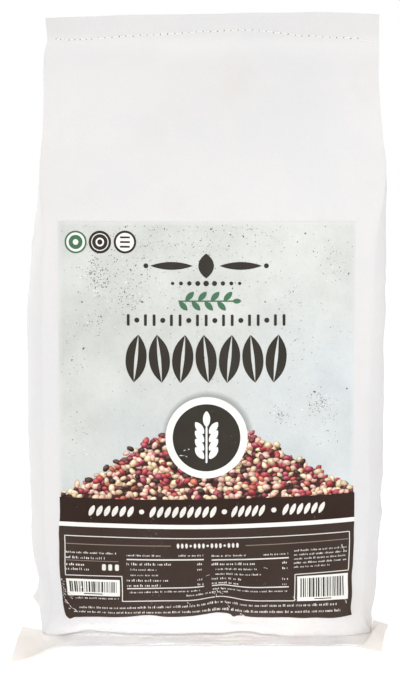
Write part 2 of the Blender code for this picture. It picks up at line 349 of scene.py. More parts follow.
def side_points(side, share, z):
    """Points of a side panel, from its front corner edge (share -1) to its back one (share 1)."""
    corner = corner_x(side, z)
    front, back = depth(FRONT_PROFILE, corner, z), depth(BACK_PROFILE, corner, z)
    out = side_bulge(z) * (1 - share**2) - tuck(z) * (1 - np.abs(share) ** TUCK_POWER)
    y = back * (1 + share) / 2 - front * (1 - share) / 2
    x = corner + side * (out + side_relief(side, share, y, z))
    front_lift = front_relief(corner, z) * (1 - share) / 2
    back_lift = back_relief(corner, z) * (1 + share) / 2
    y = y + wave(corner, z) + back_lift - front_lift
    return np.stack(np.broadcast_arrays(x, y, lifted(corner, z)), axis=-1)


# Meshes
SHARP_ANGLE = math.radians(42)


def mesh_piece(name, points, faces, materials, slot, smooth=True):
    """A piece of the object that rides on the sack, from arrays of points and faces."""
    mesh = bpy.data.meshes.new(name)
    mesh.from_pydata(np.asarray(points).reshape(-1, 3), [], faces)
    mesh.update()
    for one in materials:
        mesh.materials.append(one)
    if smooth:
        mesh.shade_smooth()
        mesh.set_sharp_from_angle(angle=SHARP_ANGLE)
    piece = bpy.data.objects.new(name, mesh)
    bpy.context.scene.collection.objects.link(piece)
    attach(piece, "root")
    return piece


def grid_faces(rows, columns, first=0, around=False):
    """Quads between the points of a grid that is stored row by row."""
    i = np.arange(rows - 1)[:, None]
    k = np.arange(columns if around else columns - 1)[None, :]
    a = first + i * columns + k
    b = first + i * columns + (k + 1) % columns
    return np.stack([a, b, b + columns, a + columns], axis=-1).reshape(-1, 4).tolist()


def stops(*runs):
    """Places along a line: each run is (start, end, steps), and it leaves out its own end unless it is the last."""
    parts = [np.linspace(start, end, steps, endpoint=False) for start, end, steps in runs]
    return np.concatenate([*parts, [runs[-1][1]]])


FRONT_STEPS = 150
SIDE_STEPS = 30
CORNER_STEPS = 5
CORNER_ROUNDS = 14
PLY_GROOVE = 0.0016


def panel_shares(steps, fine):
    """Places from -1 to 1 across a panel, with a few fine steps at both of its ends."""
    ends = fine * np.arange(CORNER_STEPS)
    inner = np.linspace(-1 + fine * CORNER_STEPS, 1 - fine * CORNER_STEPS, steps - 2 * CORNER_STEPS + 1)
    return np.concatenate([-1 + ends, inner, 1 - ends[::-1]])


def rounded(rings, corners):
    """Softens the folds that run up the corners, by easing each ring's points towards their neighbours there."""
    count = rings.shape[1]
    nearest = np.min([np.abs((np.arange(count) - c + count // 2) % count - count // 2) for c in corners], axis=0)
    weight = np.clip(1.2 - nearest / CORNER_STEPS, 0, 1)[None, :, None] * 0.5
    for _ in range(CORNER_ROUNDS):
        between = (np.roll(rings, 1, axis=1) + np.roll(rings, -1, axis=1)) / 2
        rings = rings + weight * (between - rings)
    return rings


def coons(front, back, left, right):
    """A grid that fills the space between four edges: front and back run left to right, the others front to back."""
    u = np.linspace(0, 1, len(front))[None, :, None]
    v = np.linspace(0, 1, len(left))[:, None, None]
    across = front[None] * (1 - v) + back[None] * v
    along = left[:, None] * (1 - u) + right[:, None] * u
    corners = (front[0] * (1 - u) + front[-1] * u) * (1 - v) + (back[0] * (1 - u) + back[-1] * u) * v
    return across + along - corners


def make_sack_body(paper):
    """The sack as one closed skin: rings from base to closure, a base, and the closure's open plies."""
    heights = stops(
        (0, 0.004, 8), (0.004, 0.010, 24), (0.010, 0.040, 24), (0.040, 0.400, 112), (0.400, 0.535, 50), (0.535, TOP, 22)
    )
    z = heights[:, None]
    t = panel_shares(FRONT_STEPS, 0.004)[None, :]
    x = np.where(t < 0, -t * corner_x(-1, z), t * corner_x(1, z))
    share = panel_shares(SIDE_STEPS, 0.014)[None, 1:-1]
    rings = np.concatenate([
        front_points(x, z),
        side_points(1, share, z),
        back_points(x[:, ::-1], z),
        side_points(-1, share[:, ::-1], z),
    ], axis=1)
    count = rings.shape[1]
    half = FRONT_STEPS + SIDE_STEPS
    rings = rounded(rings, (0, FRONT_STEPS, half, half + FRONT_STEPS))
    points = [rings.reshape(-1, 3)]
    faces = grid_faces(len(heights), count, around=True)
    turn = FRONT_STEPS + 1
    ids = np.arange(count)
    for row, up in ((0, False), (len(heights) - 1, True)):
        front = ids[:turn]
        right = ids[turn - 1 : turn + SIDE_STEPS]
        back = ids[turn + SIDE_STEPS - 1 : 2 * turn + SIDE_STEPS - 1][::-1]
        left = np.append(ids[2 * turn + SIDE_STEPS - 2 :], 0)[::-1]
        edge = rings[row]
        fill = coons(edge[front], edge[back], edge[left], edge[right])
        if up:
            plies = np.abs(np.sin(np.linspace(0, 2 * math.pi, SIDE_STEPS + 1)))[:, None]
            fill[..., 2] -= PLY_GROOVE * plies * (1 + 0.4 * ripple(fill[..., 0], 0 * fill[..., 0], 0.02, 1, 9))
            fill[..., 2] = np.minimum(fill[..., 2], np.maximum(edge[front][None, :, 2], edge[back][None, :, 2]))
        first = sum(len(p) for p in points)
        points.append(fill[1:-1, 1:-1].reshape(-1, 3))
        names = np.empty((SIDE_STEPS + 1, turn), int)
        names[0], names[-1], names[:, 0], names[:, -1] = front, back, left, right
        names[[0, -1, 0, -1], [0, 0, -1, -1]] = front[0], back[0], front[-1], back[-1]
        names += row * count
        names[1:-1, 1:-1] = first + np.arange((SIDE_STEPS - 1) * (turn - 2)).reshape(SIDE_STEPS - 1, turn - 2)
        quads = np.stack([names[:-1, :-1], names[:-1, 1:], names[1:, 1:], names[1:, :-1]], axis=-1).reshape(-1, 4)
        faces += (quads if up else quads[:, ::-1]).tolist()
    body = mesh_piece("sack_body", np.concatenate(points), faces, [paper], "sack_paper")
    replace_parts(body, "sack")
    return body


# The flattened bottom end, folded forwards, with an ear at each side
TAIL_THICKNESS = 0.0022
TAIL_ROOT_Y = -0.040
TAIL_FRONT_Y = -0.0670
TAIL_LEFT = (-0.1712, -0.1730)
TAIL_RIGHT = (0.1680, 0.1570)
EAR_START = 0.129
EAR_END = 0.170
LEFT_EAR_REACH = 0.050
RIGHT_EAR_REACH = 0.0235
STRIP_RISE = 0.0046
EAR_RISE = ((-0.173, 0.0094), (-0.155, 0.0062), (-0.140, 0.0050), (0.130, 0.0140), (0.151, 0.0155), (0.168, 0.0105))
EAR_FOLD = ((0.0, 0.18, 1.0), (0.1500, 0.1540, 0.1385))
EAR_FOLD_WIDTH = 0.005
TAIL_ACROSS = 220
TAIL_FORWARD = 26


def tail_points(across, forward, face):
    """Points of the bottom end's upper (1) or lower (-1) face: across goes from ear to ear, forward to the free edge."""
    left, right = (back + (front - back) * forward for back, front in (TAIL_LEFT, TAIL_RIGHT))
    x = left + (right - left) * across
    reach = np.where(x < 0, LEFT_EAR_REACH, RIGHT_EAR_REACH)
    out = ease(EAR_START, EAR_END, np.abs(x))
    wander = ripple(x, 0 * x, 0.020, 1, 61) * 0.9 * MM
    y = TAIL_ROOT_Y + (TAIL_FRONT_Y + wander - TAIL_ROOT_Y) * forward - reach * out * forward**1.3
    beyond = ease(0, EAR_FOLD_WIDTH, np.abs(x) - np.interp(forward, *EAR_FOLD))
    arch = (STRIP_RISE + (through(EAR_RISE, x) - STRIP_RISE) * beyond) * (1 - forward**2.2)
    rough = ripple(x, y, 0.011, 0.008, 62) * 0.5 * MM * np.sin(math.pi * np.clip(forward, 0, 1)) ** 0.5
    fold = -1.7 * MM * bell(0.74, 0.05, forward) * ease(-0.020, 0.0, x) * (1 - ease(0.045, 0.06, x))
    half = TAIL_THICKNESS / 2 * (1 - ease(0.9, 1.0, forward) * 0.35)
    z = TAIL_THICKNESS / 2 + 0.0002 + arch + np.maximum(rough + fold, -0.6 * MM) + face * half
    return np.stack([x, y, np.maximum(z, 0.0001)], axis=-1)


def make_bottom_end(paper):
    across = np.linspace(0, 1, TAIL_ACROSS + 1)[:, None]
    forward = np.linspace(0, 1, TAIL_FORWARD + 1)[None, :]
    upper = tail_points(across, forward, 1)
    lower = tail_points(across, forward, -1)
    rim = (upper[:, -1:] + lower[:, -1:]) / 2 + np.array([0, 0.0009, 0])
    loops = np.concatenate([upper, rim, lower[:, ::-1]], axis=1)
    columns = loops.shape[1]
    faces = [face[::-1] for face in grid_faces(len(loops), columns, around=True)]
    for row, flip in ((0, False), (len(loops) - 1, True)):
        for k in range(TAIL_FORWARD):
            quad = [row * columns + k, row * columns + k + 1, row * columns + columns - 2 - k, row * columns + columns - 1 - k]
            faces.append(quad if flip else quad[::-1])
        tip = [row * columns + TAIL_FORWARD, row * columns + TAIL_FORWARD + 1, row * columns + TAIL_FORWARD + 2]
        faces.append(tip if flip else tip[::-1])
    end = mesh_piece("bottom_end", loops, faces, [paper], "sack_paper")
    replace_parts(end, "sack")
    return end


# The label. Its design is laid out flat, as u across and v up in mm, and then placed on the front.
LABEL_LEFT = -135.5
LABEL_RIGHT = 134.5
LABEL_LIFT = 0.00045
PRINT_LIFT = 0.00009
SMALLEST_FACE = 1e-10
PRINT_TILT = 0.0165
LABEL_FOOT = (
    (-135.5, 24.2), (-134.0, 22.1), (-131.8, 21.9), (-128.5, 23.0), (-122, 23.4), (-102, 24.4), (-80, 25.0),
    (-69, 25.7), (-62, 26.5), (-48, 26.8), (-41, 26.1), (-30, 25.9), (-14, 26.4), (-3, 27.0), (8, 27.4), (14, 27.2),
    (19.5, 26.9), (21.8, 26.5), (22.8, 25.9), (24.0, 25.6), (26.5, 26.1), (30, 26.4), (36, 26.0), (42, 25.6),
    (54, 25.2), (75, 24.9), (85, 24.0), (100, 23.8), (113, 23.0), (120, 23.0), (126, 23.6), (134.5, 24.9),
)


LEFT_PULL = (
    (22.0, 6.6), (26.0, 4.8), (31.0, 3.6), (38.0, 2.4), (50.0, 1.0), (62.0, -0.2), (72.0, -0.6), (95.0, -0.8),
    (106.0, -0.8), (116.0, 0.1), (140.0, 0.0),
)
RIGHT_PULL = (
    (24.0, -1.2), (30.0, -2.2), (36.0, -1.2), (60.0, -0.8), (66.0, 0.0), (78.0, 0.6), (100.0, 1.0), (140.0, 0.8),
    (180.0, 0.0),
)
RULE_DRIFT = ((-135, 1.1), (-85, 1.2), (-5, 0.3), (70, 0.5), (135, 0.5))
LOW_DRIFT = ((-135, 0.7), (-80, 0.8), (-35, 2.1), (20, 2.1), (50, 1.5), (90, 0.4), (135, -0.2))
LOW_DRIFT_RISE = (25, 30)


def label_place(u, v):
    """Where a point of the flat label design lies on the front, as x and z in metres."""
    left = through(LEFT_PULL, v) * (1 - ease(-135, -96, u))
    right = through(RIGHT_PULL, v) * ease(96, 135, u)
    wander = 0.3 * ripple(v, 0 * v, 9.0, 1.0, 77) * (1 - ease(100, 160, v))
    rule = through(RULE_DRIFT, u) * ease(84, 104, v) * (1 - ease(114, 136, v))
    low = through(LOW_DRIFT, u) * ease(*LOW_DRIFT_RISE, v) * (1 - ease(42, 66, v))
    x, z = (u + left + right + wander) * MM, (v + rule + low) * MM
    tilt = PRINT_TILT * x * (1 - ease(0.110, 0.250, z)) * ease(0.024, 0.036, z)
    return x, z + tilt + RUMPLE_RISE * rumple(x, z) * ease(0.020, 0.036, z)


def label_bubbles(x, z):
    """The label's own slight blisters, besides the wrinkles that it shares with the paper under it."""
    return (0.5 + 0.5 * ripple(x, z, 0.016, 0.02, 71)) * 0.09 * MM * (1 - 0.5 * ease(0.1, 0.2, z))


def label_points(u, v, lift=0.0):
    x, z = label_place(u, v)
    return front_points(x, z, LABEL_LIFT + label_bubbles(x, z) + lift)


def make_label(pale, dark, white, panel_dark):
    """The label as a sheet, with its edges turned down to the sack, in bands of the colours of its print."""
    u = np.linspace(LABEL_LEFT, LABEL_RIGHT, 211)[None, :]
    share = stops((0, 1, 60))
    foot = through(LABEL_FOOT, u)
    panel_top, band_bottom, band_top, top = (h / MM for h in (PANEL_TOP, BAND_BOTTOM, BAND_TOP, LABEL_TOP))
    panel = foot + (panel_top - foot) * share[:, None]
    upper = stops((panel_top, band_bottom, 3), (band_bottom, band_top, 18), (band_top, top, 176))[1:, None]
    v = np.concatenate([panel, np.broadcast_to(upper, (len(upper), u.shape[1]))])
    sheet = label_points(u, v)
    rows, columns = v.shape
    edges = np.pad(sheet, ((1, 1), (1, 1), (0, 0)), mode="edge")
    inner = np.zeros(edges.shape[:2], bool)
    inner[1:-1, 1:-1] = True
    edges[~inner] += np.array([0, LABEL_LIFT + 0.0002, 0])
    faces = grid_faces(rows + 2, columns + 2)
    label = mesh_piece("label_sheet", edges, faces, [pale, dark, white, panel_dark], "label_print")
    row_of = np.repeat(np.arange(rows + 1), columns + 1) - 1
    middle = (np.clip(row_of, 0, rows - 2) + 0.5)
    panel_rows, rule_rows, band_rows = 60, 63, 81
    kinds = np.where(middle < panel_rows, 3, np.where(middle < rule_rows, 2, np.where(middle < band_rows, 1, 0)))
    label.data.polygons.foreach_set("material_index", kinds.astype(np.int32))
    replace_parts(label, "label")
    return label


class Print:
    """Shapes of one ink, collected flat on the label's design and placed on the label together."""

    def __init__(self):
        self.points, self.lifts, self.faces, self.tones = [], [], [], []

    def add(self, uv, faces, layer=0, tones=None):
        first = len(self.points)
        self.points += [tuple(p) for p in uv]
        self.lifts += [layer] * len(uv)
        self.faces += [[first + i for i in face] for face in faces]
        self.tones += list(tones) if tones is not None else [(1.0, 1.0, 1.0)] * len(uv)

    def blob(self, middle, outline, rings=1, layer=0, tones=None):
        """A round shape: rings of scaled copies of an outline, round a middle point."""
        outline = np.asarray(outline)
        n = len(outline)
        uv = [np.zeros((1, 2))] + [outline * (i + 1) / rings for i in range(rings)]
        faces = [[0, 1 + k, 1 + (k + 1) % n] for k in range(n)]
        for i in range(rings - 1):
            a, b = 1 + i * n, 1 + (i + 1) * n
            faces += [[a + k, b + k, b + (k + 1) % n, a + (k + 1) % n] for k in range(n)]
        self.add(np.concatenate(uv) + middle, faces, layer, tones)

    def ring(self, middle, inner, outer, layer=0, sides=72, steps=3):
        turn = np.linspace(0, 2 * math.pi, sides, endpoint=False)
        circle = np.stack([np.cos(turn), np.sin(turn)], axis=-1)
        uv = np.concatenate([circle * r for r in np.linspace(inner, outer, steps + 1)]) + middle
        faces = []
        for i in range(steps):
            a, b = i * sides, (i + 1) * sides
            faces += [[a + k, b + k, b + (k + 1) % sides, a + (k + 1) % sides] for k in range(sides)]
        self.add(uv, faces, layer)

    def bar(self, start, end, width, layer=0, rounding=0.0, step=2.5):
        """A straight bar with a given width, whose ends can be rounded or, where it equals half the width, round."""
        start, end = np.array(start, float), np.array(end, float)
        length = np.linalg.norm(end - start)
        count = max(int(math.ceil(length / step)), 1)
        d = np.linspace(0, length, count + 1)
        if rounding:
            arc = rounding * (1 - np.cos(np.linspace(0, math.pi / 2, 4)))
            d = np.unique(np.concatenate([arc, length - arc, d[(d > rounding) & (d < length - rounding)]]))
        from_end = np.minimum(d, length - d)
        inset = np.maximum(rounding - from_end, 0)
        half = width / 2 - (rounding - np.sqrt(np.maximum(rounding**2 - inset**2, 0)))
        along = (end - start) / length
        side = np.array([-along[1], along[0]])
        lines = max(int(math.ceil(width / step)), 1)
        across = np.linspace(-1, 1, lines + 1)
        uv = start + d[:, None, None] * along + (across[None, :, None] * half[:, None, None]) * side
        self.add(uv.reshape(-1, 2), grid_faces(len(d), lines + 1), layer)

    def piece(self, name, materials, lift=PRINT_LIFT):
        u, v = np.array(self.points).T
        places = label_points(u, v, lift + np.array(self.lifts) * MM)
        made = mesh_piece(name, places, self.faces, materials, "label_print")
        tone = made.data.color_attributes.new("tone", "FLOAT_COLOR", "POINT")
        tone.data.foreach_set("color", np.append(np.array(self.tones), np.ones((len(self.tones), 1)), axis=1).ravel())
        facing_front(made.data)
        drop_flat_faces(made.data)
        return made


def facing_front(mesh):
    """Turns each face of a print so that it faces the front."""
    normals = np.zeros(len(mesh.polygons) * 3)
    mesh.polygons.foreach_get("normal", normals)
    for i in np.nonzero(normals.reshape(-1, 3)[:, 1] > 0)[0]:
        mesh.polygons[int(i)].flip()
    mesh.update()


def drop_flat_faces(mesh):
    """Takes out the faces that a cut has flattened, and the points that they leave."""
    work = bmesh.new()
    work.from_mesh(mesh)
    flat = [face for face in work.faces if face.calc_area() < SMALLEST_FACE]
    bmesh.ops.delete(work, geom=flat, context="FACES")
    loose = [point for point in work.verts if not point.link_faces]
    bmesh.ops.delete(work, geom=loose, context="VERTS")
    work.to_mesh(mesh)
    work.free()
    mesh.update()


def oval(width, height, sides, point=0.0, turn=0.0):
    """An oval outline. With point above 0 its top and bottom draw in to tips, as on a seed or a leaf."""
    angle = np.linspace(0, 2 * math.pi, sides, endpoint=False)
    a = np.cos(angle) * np.abs(np.cos(angle)) ** point * width / 2
    b = np.sin(angle) * height / 2
    c, s = math.cos(turn), math.sin(turn)
    return np.stack([a * c - b * s, a * s + b * c], axis=-1)


# Colours, as in the photo under its white light, in linear light

def linear(red, green, blue):
    values = np.array([red, green, blue]) / 255
    return tuple(np.where(values <= 0.04045, values / 12.92, ((values + 0.055) / 1.055) ** 2.4))


GRAIN_KINDS = (
    (linear(226, 190, 150), linear(255, 240, 208), 0.26),
    (linear(226, 166, 146), linear(255, 224, 208), 0.23),
    (linear(166, 52, 62), linear(218, 112, 112), 0.15),
    (linear(150, 50, 68), linear(210, 120, 134), 0.11),
    (linear(186, 88, 68), linear(232, 150, 126), 0.05),
    (linear(90, 42, 46), linear(146, 92, 90), 0.11),
    (linear(54, 36, 34), linear(110, 86, 76), 0.13),
)
GAP_TONE = linear(70, 40, 36)
GRAIN_SIZE = (7.1, 4.9)
GRAIN_PITCH = (5.0, 3.9)
GRAIN_SIDES = 14
HEAP_SLOPE = ((-135, 139), (-97.5, 159.5), (-60.7, 187), (-38, 198), (-10, 207), (14, 208), (36.8, 198), (61.3, 185),
              (93.5, 166), (135, 141))
HEAP_SIDES = (-134.2, 133.4)
BADGE = (-0.6, 192.4)
BADGE_OUTER = 37.0
BADGE_INNER = 30.5


def print_grain(material):
    """The pictured heap of grain: rows of small ovals in layers, each with a light spot and a dark rim."""
    rng = np.random.default_rng(7)
    ink = Print()
    chances = np.array([kind[2] for kind in GRAIN_KINDS])
    chances /= chances.sum()
    floor = BAND_TOP / MM
    across = np.linspace(*HEAP_SIDES, 91)
    share = np.linspace(0, 1, 17)
    tops = np.minimum(through(HEAP_SLOPE, across) - 4.0, 203)
    backing = np.stack(np.broadcast_arrays(across[None, :], floor + (tops[None, :] - floor) * share[:, None]), axis=-1)
    ink.add(backing.reshape(-1, 2), grid_faces(len(share), len(across)), 0, [GAP_TONE] * backing[..., 0].size)
    for r, v in enumerate(np.arange(212, floor - 2.5, -GRAIN_PITCH[1])):
        for c, u in enumerate(np.arange(-135, 135, GRAIN_PITCH[0]) + (r % 2) * GRAIN_PITCH[0] / 2):
            place = np.array([u, v]) + rng.normal(0, 1.05, 2)
            dull, bright, _ = GRAIN_KINDS[rng.choice(len(GRAIN_KINDS), p=chances)]
            size = rng.uniform(0.74, 1.18)
            slim = rng.uniform(0.80, 1.12)
            turn = rng.normal(0, 0.6)
            dents = rng.uniform(0.90, 1.08, GRAIN_SIDES)
            spot = rng.uniform((-0.9, 0.2), (0.1, 1.1))
            shade = rng.uniform(0.80, 1.20)
            mottle = rng.uniform(0.78, 1.14, (2, GRAIN_SIDES))
            edge = through(HEAP_SLOPE, place[0]) + rng.normal(0, 1.2)
            hidden = math.hypot(*(place - BADGE)) < BADGE_INNER
            if hidden or not (HEAP_SIDES[0] + 1 < place[0] < HEAP_SIDES[1] - 1 and floor - 1.5 < place[1] < edge):
                continue
            outline = oval(GRAIN_SIZE[0] * size, GRAIN_SIZE[1] * size * slim, GRAIN_SIDES, turn=turn) * dents[:, None]
            lit = 0.5 + 0.5 * np.cos(np.arctan2(outline[:, 1], outline[:, 0]) - 2.0)
            dull, bright = np.array(dull) * shade, np.array(bright) * shade
            middle = bright * rng.uniform(0.85, 1.0)
            inner = (dull + (bright - dull) * lit[:, None]) * mottle[0][:, None]
            rim = dull * (0.28 + 0.56 * lit[:, None] ** 1.5) * mottle[1][:, None]
            layer = 0.02 + 0.02 * ((r % 4) * 2 + c % 2)
            first = len(ink.points)
            tones = np.clip(np.concatenate([[middle], inner, rim]), 0, 1)
            ink.blob(place, outline, 2, layer, tones)
            for i in range(first, len(ink.points)):
                loose = 1.0 if i <= first + GRAIN_SIDES else 0.0
                moved = np.array(ink.points[i]) + spot * loose * 0.8
                ink.points[i] = (np.clip(moved[0], *HEAP_SIDES), max(moved[1], floor))
    return ink.piece("printed_grain", [material])


def print_title(material):
    """The big dark row: upright seeds with a slim slit, leaning by turns, where the label's largest word is."""
    ink = Print()
    along = np.linspace(-1, 1, 25)
    for i, u in enumerate(np.linspace(-64.0, 62.0, 7)):
        lean = 0.10 if i % 2 else -0.10
        for side in (-1, 1):
            outer = side * 9.4 * (1 - np.abs(along) ** 2.3)
            inner = side * 1.5 * (1 - np.abs(along) ** 1.6)
            share = np.linspace(0, 1, 4)[:, None]
            a = inner + (outer - inner) * share
            b = np.broadcast_to(along * 21.7, a.shape)
            turned = np.stack([a * math.cos(lean) - b * math.sin(lean), a * math.sin(lean) + b * math.cos(lean)], axis=-1)
            ink.add(turned.reshape(-1, 2) + (u, 263.7), grid_faces(4, 25))
    return ink.piece("printed_title", [material])


def print_ornament(material):
    """A plain ornament at the head of the label: a diamond between two long lozenges, over a row of beads."""
    ink = Print()
    ink.blob((-1, 347), oval(14, 22, 40, point=0.8), 4)
    for side in (-1, 1):
        ink.blob((-1 + side * 31, 347), oval(7.0, 38, 48, point=0.9, turn=math.pi / 2), 5)
        ink.blob((-1 + side * 54, 347), oval(4.4, 4.4, 16), 1)
    for i, u in enumerate(np.linspace(-31, 29, 9)):
        size = 5.0 - 0.5 * abs(i - 4)
        ink.blob((u, 331.4), oval(size, size, 16), 1)
    return ink.piece("printed_ornament", [material])


def print_leaves(material):
    """The green row under the ornament: a sprig lying down, with a leaf above and below its stem by turns."""
    ink = Print()
    ink.bar((-26, 315.6), (24, 315.6), 1.3, rounding=0.6)
    for i, u in enumerate(np.linspace(-21.5, 18.5, 8)):
        side = 1 if i % 2 else -1
        ink.blob((u, 315.6 + side * 4.3), oval(5.2, 11.0, 24, point=0.6, turn=-side * 0.75), 3, 0.01)
    ink.blob((26.5, 315.6), oval(4.6, 8.0, 24, point=0.6, turn=math.pi / 2), 2, 0.01)
    return ink.piece("printed_leaves", [material])


def print_small_row(material):
    """The widely spaced row over the title: short upright bars and dots."""
    ink = Print()
    for i, u in enumerate(np.linspace(-71, 69, 19)):
        if i % 3 == 1:
            ink.blob((u, 298.3), oval(4.6, 4.6, 18), 1)
        else:
            ink.bar((u, 293.2), (u, 303.6), 2.6, rounding=1.0)
    return ink.piece("printed_small_row", [material])


DISCS = ((-119.0, 367.6), (-96.7, 367.8), (-73.9, 368.0))
DISC_RADIUS = 10.2


def print_discs(dark, pale, green):
    """Three plain round marks in the label's corner, each of rings alone."""
    solid, rings, leaf = Print(), Print(), Print()
    leaf.ring(DISCS[0], DISC_RADIUS - 1.6, DISC_RADIUS, 0.01, 48, 1)
    leaf.ring(DISCS[0], 2.6, 6.4, 0.01, 40, 2)
    rings.blob(DISCS[0], oval(2 * DISC_RADIUS - 3, 2 * DISC_RADIUS - 3, 48), 4, 0)
    solid.blob(DISCS[1], oval(2 * DISC_RADIUS, 2 * DISC_RADIUS, 48), 4, 0)
    rings.ring(DISCS[1], 7.1, 7.9, 0.03, 48, 1)
    rings.ring(DISCS[1], 2.4, 3.9, 0.03, 32, 1)
    rings.blob(DISCS[2], oval(2 * DISC_RADIUS - 1, 2 * DISC_RADIUS - 1, 48), 4, 0)
    solid.ring(DISCS[2], DISC_RADIUS - 2.0, DISC_RADIUS, 0.02, 48, 1)
    for v in (-4.2, 0.0, 4.2):
        solid.bar((DISCS[2][0] - 4.6, DISCS[2][1] + v), (DISCS[2][0] + 4.6, DISCS[2][1] + v), 1.7, 0.02, rounding=0.8)
    solid.piece("printed_discs_dark", [dark])
    rings.piece("printed_discs_pale", [pale])
    leaf.piece("printed_discs_green", [green])


def print_badge(dark, pale):
    """The round badge over the heap: a pale ring, a dark disc, and on it a pale ear of grain."""
    ring, disc, motif = Print(), Print(), Print()
    ring.ring(BADGE, BADGE_INNER - 1.5, BADGE_OUTER, 0.22, 110, 5)
    disc.blob(BADGE, oval(2 * BADGE_INNER, 2 * BADGE_INNER, 110), 18, 0.26)
    motif.bar((BADGE[0], BADGE[1] - 23), (BADGE[0], BADGE[1] + 10), 1.7, 0.32, rounding=0.8)
    motif.blob((BADGE[0], BADGE[1] + 17), oval(6.6, 14.5, 28, point=0.5), 3, 0.34)
    for row in range(4):
        for side in (-1, 1):
            place = (BADGE[0] + side * 6.3, BADGE[1] + 9.0 - 7.6 * row)
            motif.blob(place, oval(6.2, 13.0, 28, point=0.5, turn=-side * 0.62), 3, 0.34)
    ring.piece("printed_badge_ring", [pale])
    disc.piece("printed_badge_disc", [dark])
    motif.piece("printed_badge_motif", [pale])


BAND_WORDS = ((-109, -66, 6), (-52.8, 8.9, 9), (21.6, 52.8, 5), (68.0, 107.8, 6))
BAND_DOTS = (-59.5, 15.6, 60.6)
BAND_MIDDLE = 124.0
BAND_HEIGHT = 10.8


def print_band(material):
    """Rows of small leaning leaves on the dark band, in place of words, and the dots between them."""
    ink = Print()
    for start, end, count in BAND_WORDS:
        pitch = (end - start) / count
        for i in range(count):
            u = start + (i + 0.5) * pitch
            ink.blob((u, BAND_MIDDLE), oval(pitch * 0.66, BAND_HEIGHT * 1.08, 24, point=0.4, turn=-0.42), 3)
    for u in BAND_DOTS:
        ink.blob((u, BAND_MIDDLE), oval(4.8, 4.8, 20), 1)
    return ink.piece("printed_band_blocks", [material])


PANEL_FRAME = (
    (-130.0, 99.4), (130.3, 99.0), (130.6, 63.2), (80.5, 62.6), (79.9, 37.4), (-77.8, 39.6), (-78.0, 63.4),
    (-130.2, 63.2), (-130.0, 99.4),
)
LINE_WIDTH = 0.78
SMALL_TYPE = 1.75
TICK_PITCH = 0.70


def print_panel(bright, dim):
    """The dark panel's thin frame and rules, and rows of small upright ticks in place of its lines of words."""
    rng = np.random.default_rng(41)
    ink, faint = Print(), Print()

    def words(start, end, v, height=SMALL_TYPE, gap=1.2):
        u = start
        while u < end - 1.0:
            length = min(rng.uniform(3.0, 9.0), end - u)
            for _ in range(max(int(length / (height * TICK_PITCH)), 1)):
                wide = height * rng.choice((0.20, 0.34, 0.44))
                drift = through(LOW_DRIFT, u) * (ease(*LOW_DRIFT_RISE, v + 0.5) - ease(*LOW_DRIFT_RISE, v - 0.5))
                tall = height * rng.choice((0.66, 0.66, 0.72, 1.0)) / (1 + drift)
                low = v - height / 2 / (1 + drift)
                ink.bar((u + wide / 2, low), (u + wide / 2, low + tall), wide, rounding=wide * 0.3, step=9.0)
                u += height * TICK_PITCH
            u += gap

    for a, b in zip(PANEL_FRAME, PANEL_FRAME[1:]):
        ink.bar(a, b, LINE_WIDTH)
    faint.bar((-129, 92.4), (-33, 92.4), 0.7)
    faint.bar((35, 92.0), (129.3, 92.4), 0.7)
    for i, u in enumerate(np.linspace(-26.5, 27.5, 15)):
        ink.blob((u, 92.4), oval(*((2.2, 2.2) if i % 4 == 3 else (2.4, 4.6)), 14), 1)
    words(-129.3, -82.6, 84.9)
    words(-129.3, -92.8, 80.1, 2.3)
    faint.bar((-129, 77.3), (-81, 77.3), 0.6)
    words(-129, -111, 73.6, 2.3)
    words(-129, -107.6, 69.3, 2.3)
    for u in (-94.4, -88.6, -82.4):
        ink.bar((u, 68.6), (u, 74.6), 3.6, rounding=1.2)
    columns = ((-73.5, -3.0, 0.0), (4.2, 74.6, -0.6))
    for start, end, drop in columns:
        words(start, start + 32, 83.6 + drop)
        words(end - 23, end, 83.6 + drop)
        ink.bar((start, 79.6 + drop), (end, 79.6 + drop), 1.2)
        for row in range(5):
            v = 75.4 + drop - 5.25 * row
            inset = 0 if row in (0, 3, 4) else 3.6
            words(start + inset, start + rng.uniform(24, 46), v, 2.3 if inset == 0 else SMALL_TYPE)
            if row != 2:
                words(end - 5.8, end, v, 2.2)
        ink.bar((start, 51.4 + drop), (end, 51.4 + drop), 1.1)
    words(-71, -6, 47.7)
    words(5, 74, 46.8)
    words(-19, 20, 43.4)
    for i in range(5):
        words(79.6, 129 if i < 4 else 113, 85.2 - 3.85 * i, 1.7)
    words(-122.5, -80.5, 42.0, 1.6)
    words(-119.5, 120.5, 33.6, 2.0)
    words(-126.0, 126.0, 28.9, 1.9)
    ink.piece("printed_panel_lines", [bright])
    faint.piece("printed_panel_faint_rules", [dim])


